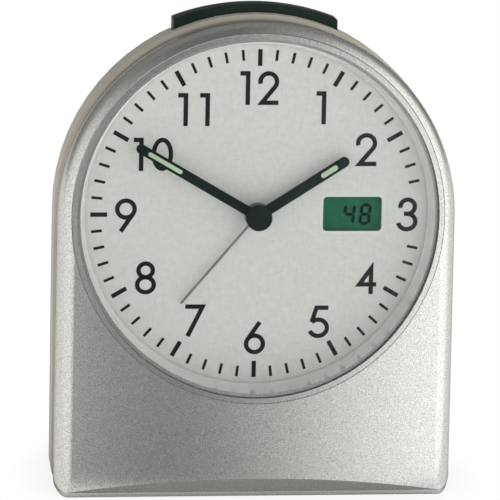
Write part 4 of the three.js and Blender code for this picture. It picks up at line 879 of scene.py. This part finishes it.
def lume_surface(hand, strip):
    """A luminous strip with round ends and a slightly crowned face, set into the front of a hand."""
    half = strip["width"] / 2
    tip = hand["length"] - LUME_INSET
    ends = np.vstack([
        arc((0, tip - half), (half, half), 0, 180, LUME_END_STEPS),
        arc((0, tip - strip["length"] + half), (half, half), 180, 360, LUME_END_STEPS),
    ])
    front = hand["back"] + hand["thick"]
    inner = offset_path(ends, half / 2, True)
    edge = front + LUME_PROUD
    rows = [(ends, front - LUME_DEPTH), (ends, edge), (inner, edge + LUME_CROWN)]
    points, faces = closed_grid(stacked(rows), False)
    return turned_clockwise(points, hand["degrees"]), faces


def cap_surface():
    """The cap over the hands, turned from a profile: bored at the back, round at the front edge."""
    top = CAP_BACK + CAP_THICK
    bore_top = CAP_BACK + CAP_THICK / 2
    profile = [
        (CAP_MIDDLE, bore_top),
        (CAP_BORE, bore_top),
        (CAP_BORE, CAP_BACK),
        (CAP_RADIUS - CAP_CHAMFER, CAP_BACK),
        (CAP_RADIUS, CAP_BACK + CAP_CHAMFER),
    ]
    edge_centre = (CAP_RADIUS - CAP_ROUND, top - CAP_ROUND)
    edge = arc(edge_centre, (CAP_ROUND, CAP_ROUND), 0, 90, CAP_ROUND_STEPS)
    return lathe(np.vstack([profile, edge, [(CAP_MIDDLE, top)]]))


# Print on the dial and figures on the display

def tangent_angle(point, centre, radius, side):
    """Angle on a circle where a straight line from a point touches it, in degrees."""
    away = np.subtract(point, centre)
    distance = math.hypot(*away)
    return math.degrees(math.atan2(away[1], away[0]) + side * math.acos(radius / distance))


def whole_bow(centre, radii, steps=LOOP_STEPS):
    """A whole ellipse, whose last point isn't the first one again."""
    return arc(centre, radii, 0, 360, steps)[:-1]


def digit_strokes(digit):
    """Centre lines of one geometric figure, in a box about its middle, as (path, closed) pairs. They are
    straight lines and arcs, and a stem touches its bow."""
    high = NUMERAL_HALF_HEIGHT - NUMERAL_HALF_STROKE
    end = NUMERAL_HALF_HEIGHT
    waist = 0.165
    upper = (high - waist) / 2
    lower = (high + waist) / 2
    if digit == "0":
        return [(whole_bow((0, 0), (2.14, high), OVAL_STEPS), True)]
    if digit == "1":
        return [(np.array([(-1.25, high), (0.69, high), (0.69, -end)]), False)]
    if digit == "2":
        radius = 2.04
        centre = (0.1, high - radius)
        corner = (-1.5, -high)
        touch = tangent_angle(corner, centre, radius, 1)
        bow = arc(centre, (radius, radius), 195, touch, BOW_STEPS)
        return [(np.vstack([bow, corner, (2.6, -high)]), False)]
    if digit == "3":
        top = arc((0.12, waist + upper), (1.75, upper), 190, -90, BOW_STEPS)
        bottom = arc((0, waist - lower), (2.07, lower), 90, -170, BOW_STEPS)
        return [(np.vstack([top, (-0.75, waist)]), False), (bottom, False)]
    if digit == "4":
        bar = -1.69
        corners = [(1.34, -end), (1.34, 2.455), (-1.575, bar), (2.675, bar)]
        return [(np.array(corners), False)]
    if digit == "5":
        radius = 2.1
        bowl = arc((0.05, radius - high), (radius, radius), 137, -158, BOW_STEPS)
        return [(np.array([(2.41, 3.64), (-0.42, 3.64), (-1.5, -0.05)]), False), (bowl, False)]
    if digit in "69":
        radius = 2.08
        centre = (0, radius - high)
        tip = (1.2, end - 0.2)
        touch = math.radians(tangent_angle(tip, centre, radius, 1))
        foot = (centre[0] + radius * math.cos(touch), centre[1] + radius * math.sin(touch))
        turn = 1 if digit == "6" else -1
        bow = turn * whole_bow(centre, (radius, radius))
        return [(bow, True), (turn * np.array([tip, foot]), False)]
    if digit == "7":
        return [(np.array([(-2.6, high), (1.58, high), (-1.92, -end + 0.2)]), False)]
    top = whole_bow((0, waist + upper), (1.8, upper))
    bottom = whole_bow((0, waist - lower), (2.1, lower))
    return [(top, True), (bottom, True)]


def printed(strokes):
    """Strokes as one flat layer of ink on the dial."""
    top = PRINT_LIFT + PRINT_THICK
    return joined([ribbon(path, NUMERAL_HALF_STROKE, PRINT_LIFT, top, closed) for path, closed in strokes])


def ink_box(strokes):
    """Middle and size of the box that inked strokes fill."""
    points = printed(strokes)[0][:, :2]
    return (points.min(0) + points.max(0)) / 2, points.max(0) - points.min(0)


def numeral_surface(numeral, place):
    """One numeral, its figures side by side. The centre lines of its strokes are stretched so that the ink
    fills the numeral's box, and then moved to its place."""
    box = np.array(place[2:])
    strokes = []
    for i, digit in enumerate(numeral):
        shift = 0.0
        if len(numeral) == 2:
            shift = (2 * i - 1) * (box[0] - DIGIT_WIDTHS[digit]) / 2
        strokes += [(path + np.array([shift, 0]), closed) for path, closed in digit_strokes(digit)]
    stroke = 2 * NUMERAL_HALF_STROKE
    stretch = (box - stroke) / (ink_box(strokes)[1] - stroke)
    strokes = [(path * stretch, closed) for path, closed in strokes]
    move = np.array(place[:2]) - ink_box(strokes)[0]
    return printed([(path + move, closed) for path, closed in strokes])


def tick_surface():
    """Minute marks all round but beside the numeral at three o'clock: short strokes along the radius, longer
    at each hour."""
    bodies = []
    for minute in range(60):
        if minute in BARE_MINUTES:
            continue
        hour = minute % 5 == 0
        middle = LONG_TICK_MIDDLE if hour else TICK_MIDDLE
        reach = (LONG_TICK_LENGTH if hour else TICK_LENGTH) / 2
        half = (LONG_TICK_WIDTH if hour else TICK_WIDTH) / 2
        path = np.array([(0, middle - reach), (0, middle + reach)])
        points, faces = ribbon(path, half, PRINT_LIFT, PRINT_LIFT + PRINT_THICK)
        bodies.append((turned_clockwise(points, MINUTE_DEGREES * minute), faces))
    return joined(bodies)


def window_edge_surface():
    """A thin pale line round the display's window: a rounded rectangle as a closed stroke."""
    half_width = WINDOW_WIDTH / 2 + WINDOW_BORDER
    half_height = WINDOW_HEIGHT / 2 + WINDOW_BORDER
    loop = rounded_loop(half_width, half_height, WINDOW_CORNER + WINDOW_BORDER)
    loop = loop[np.linalg.norm(loop - np.roll(loop, 1, 0), axis=1) > SAME_POINT]
    loop = loop + np.array([WINDOW_X, WINDOW_Y])
    return ribbon(loop, WINDOW_BORDER, PRINT_LIFT, PRINT_LIFT + PRINT_THICK, True)


SEGMENTS = {
    "top": ((-1, 1), (1, 1)), "middle": ((-1, 0), (1, 0)), "bottom": ((-1, -1), (1, -1)),
    "upper_left": ((-1, 0), (-1, 1)), "upper_right": ((1, 0), (1, 1)),
    "lower_left": ((-1, -1), (-1, 0)), "lower_right": ((1, -1), (1, 0)),
}
SHOWN_SEGMENTS = {"4": ("middle", "upper_left", "upper_right", "lower_right"), "8": tuple(SEGMENTS)}


def figure_surface(digit, place):
    """One seven-bar figure on the display: straight bars with pointed ends, leaning to the right."""
    half = np.array([FIGURE_WIDTH, FIGURE_HEIGHT]) / 2 - FIGURE_STROKE / 2
    stroke = FIGURE_STROKE / 2
    back = GLASS_FRONT + PRINT_LIFT
    bodies = []
    for name in SHOWN_SEGMENTS[digit]:
        start, stop = (np.array(end) * half for end in SEGMENTS[name])
        along = (stop - start) / np.linalg.norm(stop - start)
        side = np.array([-along[1], along[0]]) * stroke
        start = start + along * FIGURE_GAP
        stop = stop - along * FIGURE_GAP
        point = along * stroke
        loop = np.array([start, start + point - side, stop - point - side, stop, stop - point + side,
                         start + point + side])
        loop[:, 0] += FIGURE_SLANT * loop[:, 1]
        bodies.append(extruded(loop + np.array(place), back, back + PRINT_THICK))
    return joined(bodies)


# Pieces

make_piece("front_shell", front_case_surface(), MATERIALS["silver_paint"], "case",
           ["front_case"], SHELL_SHARP_DEGREES)
make_piece("lens_pane", lens_surface(), MATERIALS["clear_acrylic"], "case",
           ["lens"], SHELL_SHARP_DEGREES)
make_piece("ring_wall", ring_surface(), MATERIALS["ring_gloss"], "case", ["reflector_ring"])
make_piece("lens_border", border_surface(), BORDER_PAINT, "case")
make_piece("ring_bezel", bezel_surface(), BEZEL_PAINTED_SHADE, "case")
teal = MATERIALS["teal_plastic"]
make_piece("snooze_cover", snooze_surface(), teal, "snooze", ["snooze_bar"])
black = MATERIALS["black_hand"]
make_piece("minute_bar", hand_surface(**MINUTE_HAND), black, "minute", ["minute_hand"])
make_piece("hour_bar", hand_surface(**HOUR_HAND), black, "hour", ["hour_hand"])
make_piece("cap_dome", cap_surface(), black, "minute", ["hub_cap"])
make_piece("alarm_needle", hand_surface(**ALARM_HAND), HAND_GREY, "alarm", ["alarm_hand"])
lume = MATERIALS["lume"]
make_piece("minute_strip", lume_surface(MINUTE_HAND, MINUTE_LUME), lume, "minute", ["minute_lume"])
make_piece("hour_strip", lume_surface(HOUR_HAND, HOUR_LUME), lume, "hour", ["hour_lume"])
make_piece("minute_marks", tick_surface(), PRINT_INK, "case")
for numeral, place in NUMERAL_PLACES.items():
    make_piece("numeral_" + numeral, numeral_surface(numeral, place), PRINT_INK, "case")
make_piece("window_edge", window_edge_surface(), BORDER_INK, "case")
for digit, place in FIGURE_PLACES.items():
    make_piece("display_figure_" + digit, figure_surface(digit, place), FIGURE_INK, "case")

BACK_PIECES = {
    "setting_knob": ("alarm_knob", "alarm_setter"),
    "slider_thumb": ("alarm_slider", "slider"),
    "button_left": ("set_button_1", "button_1"),
    "button_middle": ("set_button_2", "button_2"),
    "button_right": ("set_button_3", "button_3"),
}
for name, (node, body) in BACK_PIECES.items():
    refined_copy(name, node, teal, body)
refined_copy("rear_shell", "rear_case", REAR_PLASTIC, "case")
refined_copy("battery_cover", "battery_door", REAR_PLASTIC, "door")

# CAD nodes that stay take their slot's material
slot_of = {part["node"]: part["material_slot"] for part in frame["record"]["subparts"]}
for node, shown in frame["nodes"].items():
    shown.data.materials.clear()
    shown.data.materials.append(MATERIALS[slot_of[node]])


# Camera, world and floor

VIEW_ROLL = -1.23  # degrees, of the photograph's view of the dial
VIEW_TILT = 10.68
VIEW_SIDE = 6.92
VIEW_DISTANCE = 946.1  # millimetres
FOCAL_PIXELS = 3779.0
IMAGE_PIXELS = 500
CENTRE_PIXEL = (256.83, 214.26)  # where the dial's centre shows
SENSOR_WIDTH = 36.0  # millimetres
CLIP_START = 0.01  # metres


def axis_turn(axis, degrees):
    """The matrix of a turn about one axis."""
    return np.array(Matrix.Rotation(math.radians(degrees), 3, axis))


def add_camera():
    """The photograph's camera: the dial from a distance, turned so that its centre shows at its own pixel."""
    view = axis_turn("Z", VIEW_ROLL) @ axis_turn("X", VIEW_TILT) @ axis_turn("Y", VIEW_SIDE)
    place = to_shared(view[2] * VIEW_DISTANCE)
    half = IMAGE_PIXELS / 2
    up = math.degrees(math.atan((half - CENTRE_PIXEL[1]) / FOCAL_PIXELS))
    right = math.degrees(math.atan((CENTRE_PIXEL[0] - half) / FOCAL_PIXELS))
    view = axis_turn("Y", -right) @ axis_turn("X", up) @ view
    axes = view @ DIAL_AXES
    data = bpy.data.cameras.new("camera")
    data.sensor_width = SENSOR_WIDTH
    data.lens = SENSOR_WIDTH * FOCAL_PIXELS / IMAGE_PIXELS
    data.clip_start = CLIP_START
    camera = bpy.data.objects.new("camera", data)
    matrix = Matrix([list(row) for row in axes]).transposed().to_4x4()
    matrix.translation = Vector(place)
    camera.matrix_world = matrix
    bpy.context.scene.collection.objects.link(camera)
    bpy.context.scene.camera = camera


# Brightness of the room by direction round the clock, in degrees to the right of straight ahead of it
WALL_TONES = [
    (-180, 0.35), (-150, 0.35), (-121, 0.42), (-99, 0.72), (-75, 1.1), (-28, 1.12), (-17, 0.77), (-9, 0.27),
    (0, 0.09),
    (8, 0.38), (22, 1.42), (30, 1.7), (65, 1.55), (83, 1.2), (103, 0.5), (123, 0.2), (180, 0.3),
]
# The same above the clock, in degrees to the right of straight up, seen along the dial's axis
SKY_TONES = [
    (-180, 1.12), (-90, 1.12), (-70, 0.72), (-55, 0.34), (-40, 0.18), (-25, 0.12),
    (0, 0.115),
    (15, 0.25), (30, 0.4), (45, 0.8), (60, 1.25), (90, 1.55), (180, 1.55),
]
SKY_START = 0.0  # how far a direction points up the dial where the sky begins
SKY_FULL = 0.15
REAR_TONE = 0.25  # of the sky behind the clock
REAR_START = -0.1  # how far a direction points behind the clock where that begins
REAR_FULL = 0.4
BACKDROP_START = 0.85  # the same for the white backdrop
BACKDROP_FULL = 0.97


def add_world():
    """A room whose brightness depends on direction: dim straight ahead and overhead, bright at both sides.
    The camera sees it as white all round. Gloss and glass see the same white low down behind the clock."""
    world = bpy.data.worlds.new("studio")
    bpy.context.scene.world = world
    nodes = Nodes(world)

    def along(axis):
        node = nodes.add("ShaderNodeVectorMath", operation="DOT_PRODUCT")
        node.inputs[1].default_value = axis
        nodes.link(nodes.place, node.inputs[0])
        return node.outputs["Value"]

    def toned(angle, tones):
        turn = nodes.between(angle, 0, 1, -math.pi, math.pi)
        stops = [((degrees + 180) / 360, (tone,) * 3) for degrees, tone in tones]
        return nodes.background(nodes.ramp(turn, stops))

    right = along((1, 0, 0))
    back = along((0, 1, 0))
    up = along(DIAL_UP)
    walls = toned(nodes.math("ARCTAN2", right, nodes.math("MULTIPLY", back, -1)), WALL_TONES)
    front_sky = toned(nodes.math("ARCTAN2", right, up), SKY_TONES)
    rear_sky = nodes.background((REAR_TONE, REAR_TONE, REAR_TONE, 1))
    sky = nodes.mixed(nodes.between(back, 0, 1, REAR_START, REAR_FULL), front_sky, rear_sky)
    overhead = nodes.between(up, 0, 1, SKY_START, SKY_FULL)
    room = nodes.mixed(overhead, walls, sky)
    rays = nodes.add("ShaderNodeLightPath")
    backdrop = nodes.math("MULTIPLY", nodes.between(back, 0, 1, BACKDROP_START, BACKDROP_FULL),
                          nodes.math("SUBTRACT", 1, overhead))
    mirrored = nodes.math("MULTIPLY", nodes.mirrored(rays), backdrop)
    white = nodes.math("MAXIMUM", rays.outputs["Is Camera Ray"], mirrored)
    shown = nodes.mixed(white, room, nodes.background((1, 1, 1, 1)))
    nodes.link(shown, nodes.tree.nodes["World Output"].inputs["Surface"])


FLOOR_FRONT_EDGE = -0.045  # metres; the clock stands close to the front edge of its table
FLOOR_REACH = 6.0
FLOOR_SHADE_REACH = 0.012  # distance over which the clock shades the floor
FLOOR_SHADED = 0.6  # share of open sky up to which no white is added
FLOOR_OPEN = 0.97  # and from which on all is white
FLOOR_WHITE = 0.9  # share of white that the camera sees even where the floor is shaded


def add_floor():
    """A pale floor. Away from the clock the camera, gloss and glass see it as plain white. Where the clock
    covers the sky above it, the shaded floor itself shows."""
    corners = [
        (-FLOOR_REACH, FLOOR_FRONT_EDGE, 0), (FLOOR_REACH, FLOOR_FRONT_EDGE, 0),
        (FLOOR_REACH, FLOOR_REACH, 0), (-FLOOR_REACH, FLOOR_REACH, 0),
    ]
    mesh = bpy.data.meshes.new("floor")
    mesh.from_pydata(corners, [], [(0, 1, 2, 3)])
    floor = bpy.data.objects.new("floor", mesh)
    bpy.context.scene.collection.objects.link(floor)
    nodes = Nodes(bpy.data.materials.new("pale_floor"))
    nodes.colour(nodes.tint(nodes.noise(3), (0.76, 0.76, 0.76), (0.8, 0.8, 0.8)))
    nodes.set(Roughness=0.8)
    open_sky = nodes.add("ShaderNodeAmbientOcclusion")
    open_sky.inputs["Distance"].default_value = FLOOR_SHADE_REACH
    rays = nodes.add("ShaderNodeLightPath")
    bare = nodes.between(open_sky.outputs["AO"], 0, 1, FLOOR_SHADED, FLOOR_OPEN)
    faint = nodes.between(bare, FLOOR_WHITE, 1, 0, 1)
    amount = nodes.math("MAXIMUM", nodes.math("MULTIPLY", rays.outputs["Is Camera Ray"], faint),
                        nodes.math("MULTIPLY", nodes.mirrored(rays), bare))
    white = nodes.add("ShaderNodeEmission")
    shown = nodes.mixed(amount, nodes.shader.outputs["BSDF"], white.outputs["Emission"])
    nodes.link(shown, nodes.output.inputs["Surface"])
    mesh.materials.append(nodes.material)


add_camera()
add_world()
add_floor()
bpy.context.scene.view_settings.view_transform = "Standard"
